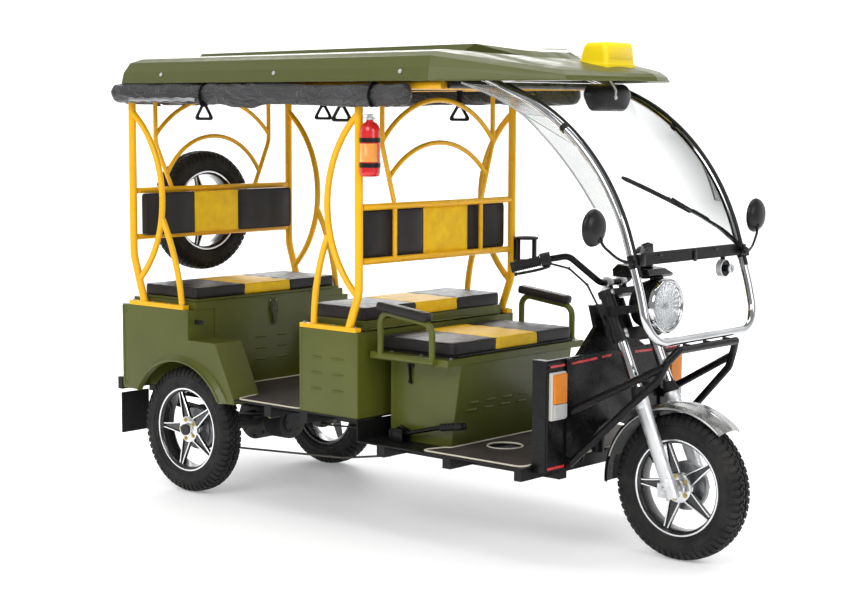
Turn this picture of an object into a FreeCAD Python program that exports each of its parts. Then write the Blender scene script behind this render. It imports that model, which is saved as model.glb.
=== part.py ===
# Electric rickshaw: a three-wheeled passenger carrier, standing on its wheels.
# Frame: +X forward, +Y the vehicle's left, +Z up, millimetres. The origin is on the
# ground, under the middle of the vehicle.
import FreeCAD, Part
import math
import os
from FreeCAD import Vector, Placement, Rotation

doc = FreeCAD.newDocument("electric_rickshaw")
sheet = doc.addObject("Spreadsheet::Sheet", "Sizes")

# ---------------------------------------------------------------- sizes
SIZES = (
    # name, millimetres or degrees
    ("rear_axle_x", -940), ("front_axle_x", 1110), ("axle_z", 250), ("wheel_r", 250),
    ("rear_wheel_y", 385), ("tyre_half_w", 47.5), ("bead_r", 161), ("rim_lip_r", 166),
    ("rear_bore_r", 14.06), ("rear_spindle_r", 14), ("front_bore_r", 8.56), ("front_spindle_r", 8.5),
    ("drum_r", 84), ("hub_r", 38), ("web_in", 12), ("web_out", 26), ("window_in_r", 60), ("window_out_r", 143),
    ("rake", 23.2), ("stem_x", 1096), ("stem_z", 234), ("fork_t", 35), ("fork_half_w", 94),
    ("fork_low_r", 24), ("fork_up_r", 18), ("fork_low_s", 330), ("yoke_low_s", 530), ("yoke_up_s", 690),
    ("head_r", 27), ("stem_r", 12), ("stem_bore_r", 12.06),
    ("body_half_w", 447), ("body_rear_x", -1288), ("body_top_z", 728), ("body_low_z", 385),
    ("seat_face_x", -892), ("seat_box_top_z", 757), ("seat_box_rear_x", -1262), ("fender_in_y", 310),
    ("fender_top_z", 612), ("fender_front_x", -738), ("fender_toe_x", -634), ("arch_r", 275), ("skin", 3),
    ("rear_floor_z", 406), ("front_floor_z", 329), ("floor_t", 5), ("step_x", 17),
    ("floor_front_x", 812), ("floor_half_w", 447),
    ("rail_y", 265), ("rail_w", 40), ("rail_depth", 50), ("rail_rear_x", -1284), ("rail_front_x", 806),
    ("mid_box_x0", -278), ("mid_box_x1", 16), ("mid_box_top_z", 718), ("mid_box_wall", 3),
    ("driver_box_x0", 64), ("driver_box_x1", 398), ("driver_box_toe_x", 354), ("driver_box_half_w", 317),
    ("driver_box_top_z", 624), ("driver_tray_top_z", 650), ("driver_tray_half_w", 391),
    ("battery_x0", -262), ("battery_x1", 2), ("battery_half_w", 400), ("battery_z0", 409), ("battery_h", 235),
    ("rear_cushion_x0", -1224), ("rear_cushion_x1", -912), ("rear_cushion_half_w", 391),
    ("rear_cushion_z", 767), ("rear_cushion_t", 57),
    ("mid_cushion_x0", -274), ("mid_cushion_x1", -1), ("mid_cushion_half_w", 386),
    ("mid_cushion_z", 755), ("mid_cushion_t", 60),
    ("driver_cushion_x0", 32), ("driver_cushion_x1", 381), ("driver_cushion_half_w", 344),
    ("driver_cushion_z", 659), ("driver_cushion_t", 57), ("cushion_round", 14),
    ("post_y", 432), ("post_r", 15), ("bow_r", 12), ("arch_tube_r", 9), ("rear_post_x", -1234), ("mid_post_x", 14),
    ("roof_rail_z", 1596), ("roof_rail_r", 14), ("roof_low_z", 1610), ("roof_half_w", 490), ("roof_t", 4),
    ("rear_beam_hi_z", 1184), ("rear_beam_lo_z", 999), ("mid_beam_hi_z", 1165), ("mid_beam_lo_z", 971),
    ("pad_t", 36), ("pad_half_w", 404),
    ("bar_z", 1036), ("hoop_y", 322), ("hoop_r", 14), ("screen_t", 4), ("screen_half_w", 307),
    ("shield_x", 818), ("shield_t", 12), ("shield_half_w", 396), ("shield_low_z", 312), ("shield_top_z", 690),
    ("shield_notch_r", 345), ("guard_r", 13),
    ("headlight_z", 857), ("headlight_r", 92), ("headlight_face_x", 1040),
    ("spare_x", -1312.5), ("spare_z", 1087),
    ("spring_y", 265), ("spring_half_len", 340), ("spring_eye_z", 330), ("spring_seat_z", 294), ("spring_t", 22), ("spring_w", 50),
)
for row, (name, value) in enumerate(SIZES, 1):
    sheet.set("A%d" % row, name)
    sheet.set("B%d" % row, str(value))
    sheet.setAlias("B%d" % row, name)
doc.recompute()


class Size:
    """A length read from the sheet, kept together with the expression that gives it."""

    def __init__(self, v, e):
        self.v, self.e = float(v), e

    def __add__(self, o):
        o = size(o)
        return Size(self.v + o.v, "(%s + %s)" % (self.e, o.e))

    def __sub__(self, o):
        o = size(o)
        return Size(self.v - o.v, "(%s - %s)" % (self.e, o.e))

    def __mul__(self, k):
        return Size(self.v * k, "(%s * %s)" % (self.e, repr(float(k))))

    def __neg__(self):
        return self * -1.0


def size(o):
    return o if isinstance(o, Size) else Size(o, repr(float(o)))


class Dims:
    def __getattr__(self, name):
        return Size(float(sheet.get(name)), "Sizes." + name)


D = Dims()


def val(name):
    return float(sheet.get(name))


PARTS = []


def keep(obj, label):
    obj.Label = label
    PARTS.append(obj)
    return obj


def bind(obj, prop, s):
    obj.setExpression(prop, size(s).e)


def place(obj, x=0, y=0, z=0, turn=None):
    if turn is not None:
        obj.Placement = Placement(Vector(0, 0, 0), turn)
    for axis, s in (("x", x), ("y", y), ("z", z)):
        bind(obj, "Placement.Base." + axis, s)


# ---------------------------------------------------------------- bound primitives
def block(name, x0, x1, y0, y1, z0, z1):
    b = doc.addObject("Part::Box", name)
    x0, x1, y0, y1, z0, z1 = (size(k) for k in (x0, x1, y0, y1, z0, z1))
    bind(b, "Length", x1 - x0)
    bind(b, "Width", y1 - y0)
    bind(b, "Height", z1 - z0)
    place(b, x0, y0, z0)
    return b


TURN = {"x": Rotation(Vector(0, 1, 0), 90), "y": Rotation(Vector(1, 0, 0), -90), "z": Rotation()}


def rod(name, r, length, x, y, z, along="y"):
    c = doc.addObject("Part::Cylinder", name)
    bind(c, "Radius", r)
    bind(c, "Height", length)
    place(c, x, y, z, TURN[along])
    return c


def joined(name, objs):
    f = doc.addObject("Part::MultiFuse", name)
    f.Shapes = objs
    f.Refine = True
    return f


def group(name, objs):
    c = doc.addObject("Part::Compound", name)
    c.Links = objs
    return c


def less(name, base, tool):
    c = doc.addObject("Part::Cut", name)
    c.Base, c.Tool = base, tool
    return c


def rounded(name, base, radius, pick):
    """Rounds those edges of a plain block that pick() chooses."""
    doc.recompute()
    f = doc.addObject("Part::Fillet", name)
    f.Base = base
    f.Edges = [(i, radius, radius) for i, e in enumerate(base.Shape.Edges, 1) if pick(e)]
    return f


# ---------------------------------------------------------------- bodies from sketches
def origin_plane(body, role):
    return [f for f in body.Origin.OriginFeatures if f.Role == role][0]


def outline(body, name, role, loops, discs=()):
    """A sketch of closed loops of lines and of circles; each corner is held by two sizes."""
    sk = body.newObject("Sketcher::SketchObject", name)
    sk.AttachmentSupport = [(origin_plane(body, role), "")]
    sk.MapMode = "FlatFace"
    import Sketcher
    for pts in loops:
        pts = [(size(a), size(b)) for a, b in pts]
        first = sk.GeometryCount
        n = len(pts)
        for i in range(n):
            a, b = pts[i], pts[(i + 1) % n]
            sk.addGeometry(Part.LineSegment(Vector(a[0].v, a[1].v, 0), Vector(b[0].v, b[1].v, 0)), False)
        for i in range(n):
            sk.addConstraint(Sketcher.Constraint("Coincident", first + i, 2, first + (i + 1) % n, 1))
        for i in range(n):
            for k, kind, axis in ((0, "DistanceX", -2), (1, "DistanceY", -1)):
                s = pts[i][k]
                if abs(s.v) < 1e-9:
                    sk.addConstraint(Sketcher.Constraint("PointOnObject", first + i, 1, axis))
                else:
                    c = sk.addConstraint(Sketcher.Constraint(kind, -1, 1, first + i, 1, s.v))
                    sk.setExpression("Constraints[%d]" % c, s.e)
    for cx, cy, r in discs:
        cx, cy, r = size(cx), size(cy), size(r)
        g = sk.addGeometry(Part.Circle(Vector(cx.v, cy.v, 0), Vector(0, 0, 1), r.v), False)
        for s, kind, axis in ((cx, "DistanceX", -2), (cy, "DistanceY", -1)):
            if abs(s.v) < 1e-9:
                sk.addConstraint(Sketcher.Constraint("PointOnObject", g, 3, axis))
            else:
                c = sk.addConstraint(Sketcher.Constraint(kind, -1, 1, g, 3, s.v))
                sk.setExpression("Constraints[%d]" % c, s.e)
        c = sk.addConstraint(Sketcher.Constraint("Radius", g, r.v))
        sk.setExpression("Constraints[%d]" % c, r.e)
    sk.Visibility = False
    return sk


def symmetric(feature):
    if hasattr(feature, "SideType"):
        feature.SideType = "Symmetric"
    else:
        feature.Midplane = True


def pad(body, sketch, length, both=True, reverse=False):
    p = body.newObject("PartDesign::Pad", sketch.Name + "_pad")
    p.Profile = sketch
    bind(p, "Length", length)
    if both:
        symmetric(p)
    p.Reversed = reverse
    doc.recompute()
    return p


def pocket(body, sketch, length, both=True):
    """Cuts length deep; a cut that points off the solid is turned round."""
    before = body.Shape.Volume
    p = body.newObject("PartDesign::Pocket", sketch.Name + "_pocket")
    p.Profile = sketch
    bind(p, "Length", length)
    if both:
        symmetric(p)
    doc.recompute()
    if body.Shape.Volume > before - 1:
        p.Reversed = True
        doc.recompute()
    assert body.Shape.Volume < before - 1, sketch.Name
    return p


def turned(body, sketch):
    r = body.newObject("PartDesign::Revolution", sketch.Name + "_turn")
    r.Profile = sketch
    r.ReferenceAxis = (sketch, ["V_Axis"])
    r.Angle = 360
    doc.recompute()
    return r


def new_body(name):
    return doc.addObject("PartDesign::Body", name)


# ---------------------------------------------------------------- bent tubes, sheets
def path(points, radii):
    """Straight runs through the points, joined by tangent arcs of the given radii."""
    pts = [Vector(*p) for p in points]
    edges, here = [], pts[0]
    for i in range(1, len(pts) - 1):
        a, b, c = pts[i - 1], pts[i], pts[i + 1]
        u, w = (a - b).normalize(), (c - b).normalize()
        half = math.acos(max(-1, min(1, u.dot(w)))) / 2
        r = radii[i - 1] if isinstance(radii, (list, tuple)) else radii
        cut = r / math.tan(half)
        p, q = b + u * cut, b + w * cut
        mid = b + (u + w).normalize() * (r / math.sin(half) - r)
        if (p - here).Length > 1e-6:
            edges.append(Part.LineSegment(here, p).toShape())
        edges.append(Part.Arc(p, mid, q).toShape())
        here = q
    if (pts[-1] - here).Length > 1e-6:
        edges.append(Part.LineSegment(here, pts[-1]).toShape())
    return Part.Wire(edges)


def start_of(wire):
    e = wire.OrderedEdges[0]
    v0 = wire.OrderedVertexes[0].Point
    p0, p1 = e.valueAt(e.FirstParameter), e.valueAt(e.LastParameter)
    if (p0 - v0).Length < (p1 - v0).Length:
        return v0, e.tangentAt(e.FirstParameter)
    return v0, e.tangentAt(e.LastParameter) * -1


def swept(wire, section):
    s = wire.makePipeShell([section], True, False)
    return s if s.ShapeType == "Solid" else Part.Solid(s)


def tube(points, r, radii=60):
    if len(points) == 2:
        a, b = Vector(*points[0]), Vector(*points[1])
        return Part.makeCylinder(r, (b - a).Length, a, b - a)
    w = path(points, radii)
    p, d = start_of(w)
    return swept(w, Part.Wire(Part.makeCircle(r, p, d)))


def bow(a, m, b, r):
    w = Part.Wire(Part.Arc(Vector(*a), Vector(*m), Vector(*b)).toShape())
    p, d = start_of(w)
    return swept(w, Part.Wire(Part.makeCircle(r, p, d)))


def box(x0, x1, y0, y1, z0, z1):
    return Part.makeBox(x1 - x0, y1 - y0, z1 - z0, Vector(x0, y0, z0))


def prism(points, plane, a0, a1):
    """A closed outline in one plane, thick from a0 to a1 along the third axis."""
    put = {"xz": lambda p, k: Vector(p[0], k, p[1]), "yz": lambda p, k: Vector(k, p[0], p[1]),
           "xy": lambda p, k: Vector(p[0], p[1], k)}[plane]
    face = Part.Face(Part.makePolygon([put(p, a0) for p in points] + [put(points[0], a0)]))
    return face.extrude(put((0, 0), a1 - a0))


def fuse(shapes):
    s = shapes[0]
    for other in shapes[1:]:
        s = s.fuse(other)
    if len(shapes) > 1:
        s = s.removeSplitter()
    return s.Solids[0] if len(s.Solids) == 1 else s


def mirror_y(s):
    return s.mirror(Vector(0, 0, 0), Vector(0, 1, 0))


def pair(s):
    return Part.makeCompound(s.Solids + mirror_y(s).Solids)


def rings(levels):
    """A closed solid through rings of equally many points, one above the other."""
    faces = []
    for lo, hi in zip(levels, levels[1:]):
        n = len(lo)
        for i in range(n):
            a, b, c, d = lo[i], lo[(i + 1) % n], hi[(i + 1) % n], hi[i]
            for tri in ((a, b, c), (a, c, d)):
                vs = [Vector(*k) for k in tri]
                if (vs[1] - vs[0]).cross(vs[2] - vs[0]).Length > 1e-6:
                    faces.append(Part.Face(Part.makePolygon(vs + [vs[0]])))
    for ring in (levels[0], levels[-1]):
        cx = [sum(p[k] for p in ring) / len(ring) for k in range(3)]
        for i in range(len(ring)):
            vs = [Vector(*ring[i]), Vector(*ring[(i + 1) % len(ring)]), Vector(*cx)]
            faces.append(Part.Face(Part.makePolygon(vs + [vs[0]])))
    sh = Part.makeShell(faces)
    s = Part.Solid(sh)
    if s.Volume < 0:
        s.reverse()
    return s


def plain(label, shape):
    """A piece whose shape is worked out here from the sheet's sizes."""
    o = doc.addObject("Part::Feature", label)
    o.Shape = shape
    o.Placement = shape.Placement
    return keep(o, label)


# ================================================================ wheels
def make_tyre(label, x, y, z, turn):
    b = new_body(label)
    r, w, bead = D.wheel_r, D.tyre_half_w, D.bead_r
    half = [(bead, w - 14), (bead + 5.5, w - 14), (bead + 7, w - 7.5), (bead + 24, w - 1.5), (r - 40, w),
            (r - 18, w - 3.5), (r - 6, w - 11.5), (r, w - 25)]
    loop = half + [(a, -c) for a, c in reversed(half)]
    turned(b, outline(b, label + "_section", "XY_Plane", [loop]))
    place(b, x, y, z, turn)
    return keep(b, label)


def make_rim(label, bore, drum_in, x, y, z, turn):
    b = new_body(label)
    lip, bead = D.rim_lip_r, D.bead_r
    loop = [(bore, drum_in), (D.drum_r, drum_in), (D.drum_r, -10), (D.hub_r, -10), (D.hub_r, D.web_in),
            (bead - 13, D.web_in), (bead - 13, -38), (lip, -38), (lip, -34), (bead, -34), (bead, 34), (lip, 34),
            (lip, 38), (bead - 13, 38), (bead - 13, D.web_out), (D.hub_r, D.web_out), (D.hub_r, 36), (bore, 36)]
    turned(b, outline(b, label + "_section", "XY_Plane", [loop]))
    # one window between two spokes, five times round
    corners = (("window_in_r", 12.4), ("window_out_r", 32.0), ("window_out_r", 16.0), ("window_out_r", 0.0),
               ("window_out_r", -16.0), ("window_out_r", -32.0), ("window_in_r", -12.4))
    win = []
    for rn, deg in corners:
        a = math.radians(deg - 90 + 36)
        rr = getattr(D, rn)
        win.append((rr * math.cos(a), rr * math.sin(a)))
    sk = outline(b, label + "_window", "XZ_Plane", [win])
    p = pocket(b, sk, 32, both=False)
    if b.Shape.Volume < 0:
        raise ValueError(label)
    pat = b.newObject("PartDesign::PolarPattern", label + "_spokes")
    pat.Originals = [p]
    pat.Axis = (sk, ["N_Axis"])
    pat.Angle = 360
    pat.Occurrences = 5
    b.Tip = pat
    doc.recompute()
    place(b, x, y, z, turn)
    return keep(b, label)


UP = Rotation()
FLIP = Rotation(Vector(0, 0, 1), 180)
BACK = Rotation(Vector(0, 0, 1), 90)
for side, sgn, turn in (("left", 1, UP), ("right", -1, FLIP)):
    y = D.rear_wheel_y * sgn
    make_tyre("rear_%s_tyre" % side, D.rear_axle_x, y, D.axle_z, turn)
    make_rim("rear_%s_rim" % side, D.rear_bore_r, -45, D.rear_axle_x, y, D.axle_z, turn)
make_tyre("front_tyre", D.front_axle_x, 0, D.axle_z, FLIP)
make_rim("front_rim", D.front_bore_r, -44, D.front_axle_x, 0, D.axle_z, FLIP)
# the spare hangs upright behind the rear frame, its outer face to the front
make_tyre("spare_tyre", D.spare_x, 0, D.spare_z, Rotation(Vector(0, 0, 1), -90))
make_rim("spare_rim", D.rear_bore_r, -37, D.spare_x, 0, D.spare_z, Rotation(Vector(0, 0, 1), -90))

# ================================================================ steering: one turning group
RAKE = math.radians(val("rake"))
A = Vector(-math.sin(RAKE), 0, math.cos(RAKE))   # up along the steering axis
N = Vector(math.cos(RAKE), 0, math.sin(RAKE))    # forward, square to it
BASE = Vector(val("stem_x"), 0, val("stem_z"))


def on_stem(s, t=0.0, y=0.0):
    return BASE + A * s + N * t + Vector(0, y, 0)


def stem_rod(r, s0, s1, t=0.0, y=0.0):
    p = on_stem(s0, t, y)
    return Part.makeCylinder(r, s1 - s0, p, A)


def stem_plate(s0, s1, t0, t1, y0, y1):
    b = Part.makeBox(t1 - t0, y1 - y0, s1 - s0)
    b.Placement = Placement(on_stem(s0, t0, y0), Rotation(Vector(0, 1, 0), -val("rake")))
    return b


ft, fw = val("fork_t"), val("fork_half_w")
axle_p = Vector(val("front_axle_x"), 0, val("axle_z"))
leg = fuse([
    stem_rod(val("fork_low_r"), -24, val("fork_low_s"), ft, fw),
    stem_rod(val("fork_up_r"), val("fork_low_s") - 20, val("yoke_up_s") + 25, ft, fw),
    box(axle_p.x - 24, axle_p.x + 14, fw - 20, fw + 20, axle_p.z - 22, axle_p.z + 26),
])
axle = fuse([Part.makeCylinder(val("front_spindle_r"), 2 * fw + 60, axle_p - Vector(0, fw + 30, 0), Vector(0, 1, 0)),
             Part.makeCylinder(14, 10, axle_p + Vector(0, fw + 19, 0), Vector(0, 1, 0)),
             Part.makeCylinder(14, 10, axle_p - Vector(0, fw + 29, 0), Vector(0, 1, 0))])
plain("fork_legs", fuse([leg, mirror_y(leg), axle]))

s_lo, s_up = val("yoke_low_s"), val("yoke_up_s")
yokes = fuse([
    stem_plate(s_lo, s_lo + 40, 8, 60, -fw, fw), stem_rod(25, s_lo, s_lo + 40),
    stem_plate(s_up, s_up + 22, 8, 58, -fw, fw), stem_rod(25, s_up, s_up + 22),
    stem_rod(val("stem_r"), s_lo, s_up + 22),
    stem_rod(14, s_up + 22, s_up + 42, 16, 40), stem_rod(14, s_up + 22, s_up + 42, 16, -40),
])
# clamps round the fork tubes, and the shrouds between them
for sgn in (1, -1):
    yokes = fuse([yokes, stem_rod(29, s_lo, s_lo + 40, ft, sgn * fw), stem_rod(28, s_up, s_up + 22, ft, sgn * fw),
                  stem_rod(24, s_lo + 20, s_up + 10, ft, sgn * fw)])
for sgn in (1, -1):
    yokes = yokes.cut(stem_rod(val("fork_up_r"), s_lo - 5, s_up + 40, ft, sgn * fw))
clamp_p = on_stem(s_up + 54, 16)
HALF_BAR = [(662, 364, 989), (742, 300, 1014), (774, 205, 1024), (clamp_p.x, 84, clamp_p.z + 4), (clamp_p.x, 40, clamp_p.z)]
bar_pts = HALF_BAR + [(x, -y, z) for x, y, z in reversed(HALF_BAR)]
bar = tube(bar_pts, 11, [60, 55, 50, 60, 60, 50, 55, 60])
yokes = fuse([yokes] + [Part.makeCylinder(17, 26, clamp_p + Vector(0, k - 13, 0), Vector(0, 1, 0)) for k in (40, -40)])
yokes = yokes.cut(bar)
plain("fork_yokes", yokes)
plain("handlebar", bar)


def along(a, b, r, start, end):
    a, b = Vector(*a), Vector(*b)
    d = (b - a).normalize()
    return Part.makeCylinder(r, end - start, a + d * start, d)


grip = along(HALF_BAR[0], HALF_BAR[1], 16.5, -6, 92)
pod = along(HALF_BAR[0], HALF_BAR[1], 21, 92.5, 128)
lever = tube([(742, 296, 1010), (770, 300, 996), (752, 330, 986), (696, 386, 970)], 5, [14, 60])
hand = fuse([grip, pod, lever]).cut(bar)
plain("hand_controls", pair(hand))

# headlight: bowl, lens, the arms that carry it and the hood with the dial above it
hx, hz, hr = D.headlight_face_x, D.headlight_z, D.headlight_r
b = new_body("headlight_shell")
loop = [(0, -140), (42, -132), (74, -105), (hr - 3, -62), (hr, -52), (hr, -8), (hr - 4, 0), (hr - 10, 0), (hr - 10, -11), (0, -11)]
turned(b, outline(b, "headlight_section", "XY_Plane", [loop]))
place(b, hx, 0, hz, Rotation(Vector(0, 0, 1), -90))
bowl = b
b = new_body("headlight_lens")
loop = [(0, -10.5), (hr - 10.5, -10.5), (hr - 10.5, -3), (60, 3), (30, 6), (0, 7)]
turned(b, outline(b, "lens_section", "XY_Plane", [loop]))
place(b, hx, 0, hz, Rotation(Vector(0, 0, 1), -90))
keep(b, "headlight_lens")
arm_s = 640
arm_a = on_stem(arm_s, ft, fw + 24.5)
arm = fuse([prism([(arm_a.x - 16, arm_a.z - 14), (arm_a.x + 10, arm_a.z - 16), (1004, val("headlight_z") - 12),
                   (1004, val("headlight_z") + 12), (arm_a.x - 6, arm_a.z + 16)], "xz", arm_a.y, arm_a.y + 5),
            Part.makeCylinder(9, arm_a.y - val("headlight_r") + 9.0, Vector(1004, val("headlight_r") - 6, val("headlight_z")), Vector(0, 1, 0))])
carriers = doc.addObject("Part::Feature", "headlight_arms")
carriers.Shape = pair(arm)
dial = doc.addObject("Part::Feature", "instrument_hood")
dial.Shape = rings([
    [(862, -70, 951), (1000, -78, 952), (1000, 78, 952), (862, 70, 951)],
    [(856, -66, 975), (1012, -72, 962), (1012, 72, 962), (856, 66, 975)],
    [(866, -50, 992), (990, -52, 980), (990, 52, 980), (866, 50, 992)]])
neck = block("instrument_neck", 985, 1000, -30, 30, D.headlight_z + D.headlight_r - 12, D.headlight_z + D.headlight_r + 6)
keep(joined("headlight_whole", [bowl, carriers, dial, neck]), "headlight")

# front mudguard, its rear flap, and the axle
fr = 288


def guard_section(r_out, t, half):
    pts = [(half, -18), (half - 12, -5), (0, 0), (-half + 12, -5), (-half, -18)]
    outer = [(y, r_out + d) for y, d in pts]
    inner = [(y * (1 - t / half), r_out + d - t) for y, d in reversed(pts)]
    return outer + inner


def guard_arc(r_out, t, half, deg0, deg1):
    """Turned about the front axle from deg0 to deg1, counted up from straight ahead."""
    face = Part.Face(Part.makePolygon([Vector(r, y, 0) for y, r in guard_section(r_out, t, half)] +
                                      [Vector(guard_section(r_out, t, half)[0][1], guard_section(r_out, t, half)[0][0], 0)]))
    s = face.revolve(Vector(0, 0, 0), Vector(0, -1, 0), deg1 - deg0)
    s.rotate(Vector(0, 0, 0), Vector(0, -1, 0), deg0)
    s.translate(axle_p)
    return s


lip = guard_arc(fr, 3, 62, 0, 8)
lip.rotate(axle_p, Vector(0, -1, 0), 45)
stay_p = on_stem(300, ft)
fender = fuse([guard_arc(fr, 3, 62, 48, 166),
               box(stay_p.x - 14, stay_p.x + 14, 60.5, fw - 23.6, stay_p.z - 26, stay_p.z - 2),
               box(stay_p.x - 14, stay_p.x + 14, -(fw - 23.6), -60.5, stay_p.z - 26, stay_p.z - 2)])
fender = fender.cut(stem_rod(val("fork_low_r") + 0.2, 100, 400, ft, fw)).cut(stem_rod(val("fork_low_r") + 0.2, 100, 400, ft, -fw))
flap = guard_arc(fr + 2.5, 3, 61, 163, 183)
plain("front_mudguard", fuse([fender, flap]))
# control cables held along the bar and the fork, on both sides
cable = tube([(752, 272, 1000), (800, 236, 985), (842, 190, 930), (862, 150, 850), (882, 137, 790)], 3.5, [40, 60, 60])
plain("control_cables", pair(cable))

# ================================================================ chassis
ry, rw, rd = val("rail_y"), val("rail_w"), val("rail_depth")
rt, fl = val("rear_floor_z") - val("floor_t"), val("front_floor_z") - val("floor_t")
rail = prism([(val("rail_rear_x"), rt - rd), (-92, rt - rd), (-8, fl - rd), (val("rail_front_x"), fl - rd),
              (val("rail_front_x"), fl), (15, fl), (-62, rt), (val("rail_rear_x"), rt)], "xz", ry - rw / 2, ry + rw / 2)
plain("chassis_rails", pair(rail))

# cross members: x, underside below the rail's top, half width of the outer ends
CROSS = (
    # x0, x1, z_top, depth, reach
    (-1280, -1250, "rear", 40, 300), (-700, -664, "rear", 40, 300), (-470, -434, "rear", 40, 442), (-276, -240, "rear", 40, 442),
    (110, 146, "front", 40, 442), (420, 456, "front", 40, 442), (736, 766, "front", 40, 442),
)
pieces = []
for i, (x0, x1, level, depth, reach) in enumerate(CROSS):
    top = (D.rear_floor_z if level == "rear" else D.front_floor_z) - D.floor_t
    rail_in, rail_out = D.rail_y - D.rail_w * 0.5, D.rail_y + D.rail_w * 0.5
    pieces.append(block("cross_mid_%d" % i, x0, x1, -rail_in, rail_in, top - depth, top))
    if reach > 310:
        pieces.append(block("cross_left_%d" % i, x0, x1, rail_out, reach, top - depth, top))
        pieces.append(block("cross_right_%d" % i, x0, x1, -size(reach), -rail_out, top - depth, top))
keep(group("chassis_cross_members", pieces), "chassis_cross_members")

# column behind the leg shield, and the head tube on top of it
head = stem_rod(val("head_r"), s_lo + 46, s_up - 6)
column = fuse([tube([(752, 0, 300), (752, 0, 420), (762, 0, 660), (on_stem(650).x - 24, 0, on_stem(650).z - 6)], 27, [160, 120]),
               head, prism([(752, 560), (790, 700), (on_stem(650).x, on_stem(650).z), (on_stem(640).x - 30, on_stem(640).z), (735, 640)],
                           "xz", -6, 6)])
column = column.cut(stem_rod(val("stem_bore_r"), s_lo, s_up)).cut(box(600, 900, -60, 60, 200, fl + 0.2))
plain("steering_column", column.Solids[0] if len(column.Solids) == 1 else column)

# leg shield: a front plate with side returns, cut out over the front wheel
sx, stt, sh, sl, stp = val("shield_x"), val("shield_t"), val("shield_half_w"), val("shield_low_z"), val("shield_top_z")
b = new_body("shield_press")
T = D.shield_t
loop = [(D.shield_x - 44, -D.shield_half_w), (D.shield_x + T, -D.shield_half_w), (D.shield_x + T, D.shield_half_w),
        (D.shield_x - 44, D.shield_half_w), (D.shield_x - 44, D.shield_half_w - 30), (D.shield_x, D.shield_half_w - 30),
        (D.shield_x, -D.shield_half_w + 30), (D.shield_x - 44, -D.shield_half_w + 30)]
pad(b, outline(b, "shield_plan", "XY_Plane", [loop]), D.shield_top_z - D.shield_low_z, both=False)
place(b, 0, 0, D.shield_low_z)
doc.recompute()
cutter = doc.addObject("Part::Sphere", "wheel_sweep")
bind(cutter, "Radius", D.shield_notch_r)
place(cutter, D.front_axle_x, 0, D.axle_z)
pressed = less("leg_shield_cut", b, cutter)
# tapered cover between the shield and the head tube, leaning back like the fork
cov = rings([
    [(796, -195, 684), (822, -195, 684), (822, 195, 684), (796, 195, 684)],
    [(774, -64, 770), (792, -64, 770), (792, 64, 770), (774, 64, 770)],
    [(742, -48, 842), (760, -48, 842), (760, 48, 842), (742, 48, 842)]])
cover = doc.addObject("Part::Feature", "column_cover")
cover.Shape = cov.cut(column).cut(stem_rod(40, s_lo - 20, s_up + 20))
keep(joined("leg_shield_whole", [pressed, cover]), "leg_shield")

# front turn lamps on the shield, and the tube guard before it
front_lamps = [block("turn_lamp_left", D.shield_x + T, D.shield_x + T + 24, 302, 382, 489, 650),
               block("turn_lamp_right", D.shield_x + T, D.shield_x + T + 24, -382, -302, 489, 650)]
gr = val("guard_r")
gx = sx + stt
strap = box(gx + 0.3, gx + 8, 262, 290, 318, 688)
upper = tube([(gx + 9.5, 276, 508), (1168, 206, 684)], gr)
lower = tube([(gx + 9.5, 276, 330), (1150, 214, 640), (1176, 200, 702)], gr, [60])
upper = upper.cut(box(700, gx + 8.4, 200, 400, 200, 800))
lower = lower.cut(box(700, gx + 8.4, 200, 400, 200, 800))
side = fuse([strap.cut(box(gx, gx + 0.2, 200, 300, 300, 700)), box(gx + 7.5, gx + 22, 264, 288, 496, 520), box(gx + 7.5, gx + 22, 264, 288, 326, 350), upper, lower,
             tube([(1176, 200, 700), (1200, 172, 738)], gr), Part.makeSphere(gr, Vector(1176, 200, 701))])
cross = tube([(1200, -172, 738), (1200, 172, 738)], gr)
guard = fuse([side, mirror_y(side), cross, Part.makeSphere(gr, Vector(1200, 172, 738)), Part.makeSphere(gr, Vector(1200, -172, 738))])
hoop_bottom_z = 768
for yy in (-120, 0, 120):
    guard = fuse([guard, box(1186, 1204, yy - 9, yy + 9, 745, 753.6)])
plain("crash_guard", guard)

# ================================================================ floors
b = new_body("driver_floor")
loop = [(D.step_x, -D.floor_half_w), (773, -D.floor_half_w), (773, -D.shield_half_w + 31), (D.floor_front_x, -D.shield_half_w + 31),
        (D.floor_front_x, -160), (770, -130), (770, -30), (722, -30), (722, 30), (770, 30), (770, 130), (D.floor_front_x, 160),
        (D.floor_front_x, D.shield_half_w - 31), (773, D.shield_half_w - 31), (773, D.floor_half_w), (D.step_x, D.floor_half_w)]
pad(b, outline(b, "driver_floor_plan", "XY_Plane", [loop]), D.floor_t, both=False)
lip_sk = outline(b, "driver_floor_step", "XZ_Plane",
                 [[(D.step_x, 0), (D.step_x + 4, 0), (D.step_x + 4, D.rear_floor_z - D.front_floor_z + D.floor_t - 6),
                   (D.step_x, D.rear_floor_z - D.front_floor_z + D.floor_t - 6)]])
pad(b, lip_sk, D.floor_half_w * 2)
pocket(b, outline(b, "floor_hatch", "XY_Plane", [], [(482, -176, 58)]), 30)
place(b, 0, 0, D.front_floor_z - D.floor_t)
low_pan = b
b = new_body("passenger_floor")
loop = [(D.seat_box_rear_x, -D.fender_in_y + 4), (D.fender_toe_x, -D.fender_in_y + 4), (D.fender_toe_x, -D.floor_half_w),
        (D.step_x - 1, -D.floor_half_w), (D.step_x - 1, D.floor_half_w), (D.fender_toe_x, D.floor_half_w),
        (D.fender_toe_x, D.fender_in_y - 4), (D.seat_box_rear_x, D.fender_in_y - 4)]
pad(b, outline(b, "passenger_floor_plan", "XY_Plane", [loop]), D.floor_t, both=False)
place(b, 0, 0, D.rear_floor_z - D.floor_t)
keep(group("floor_pans", [low_pan, b]), "floor_pans")

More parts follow.
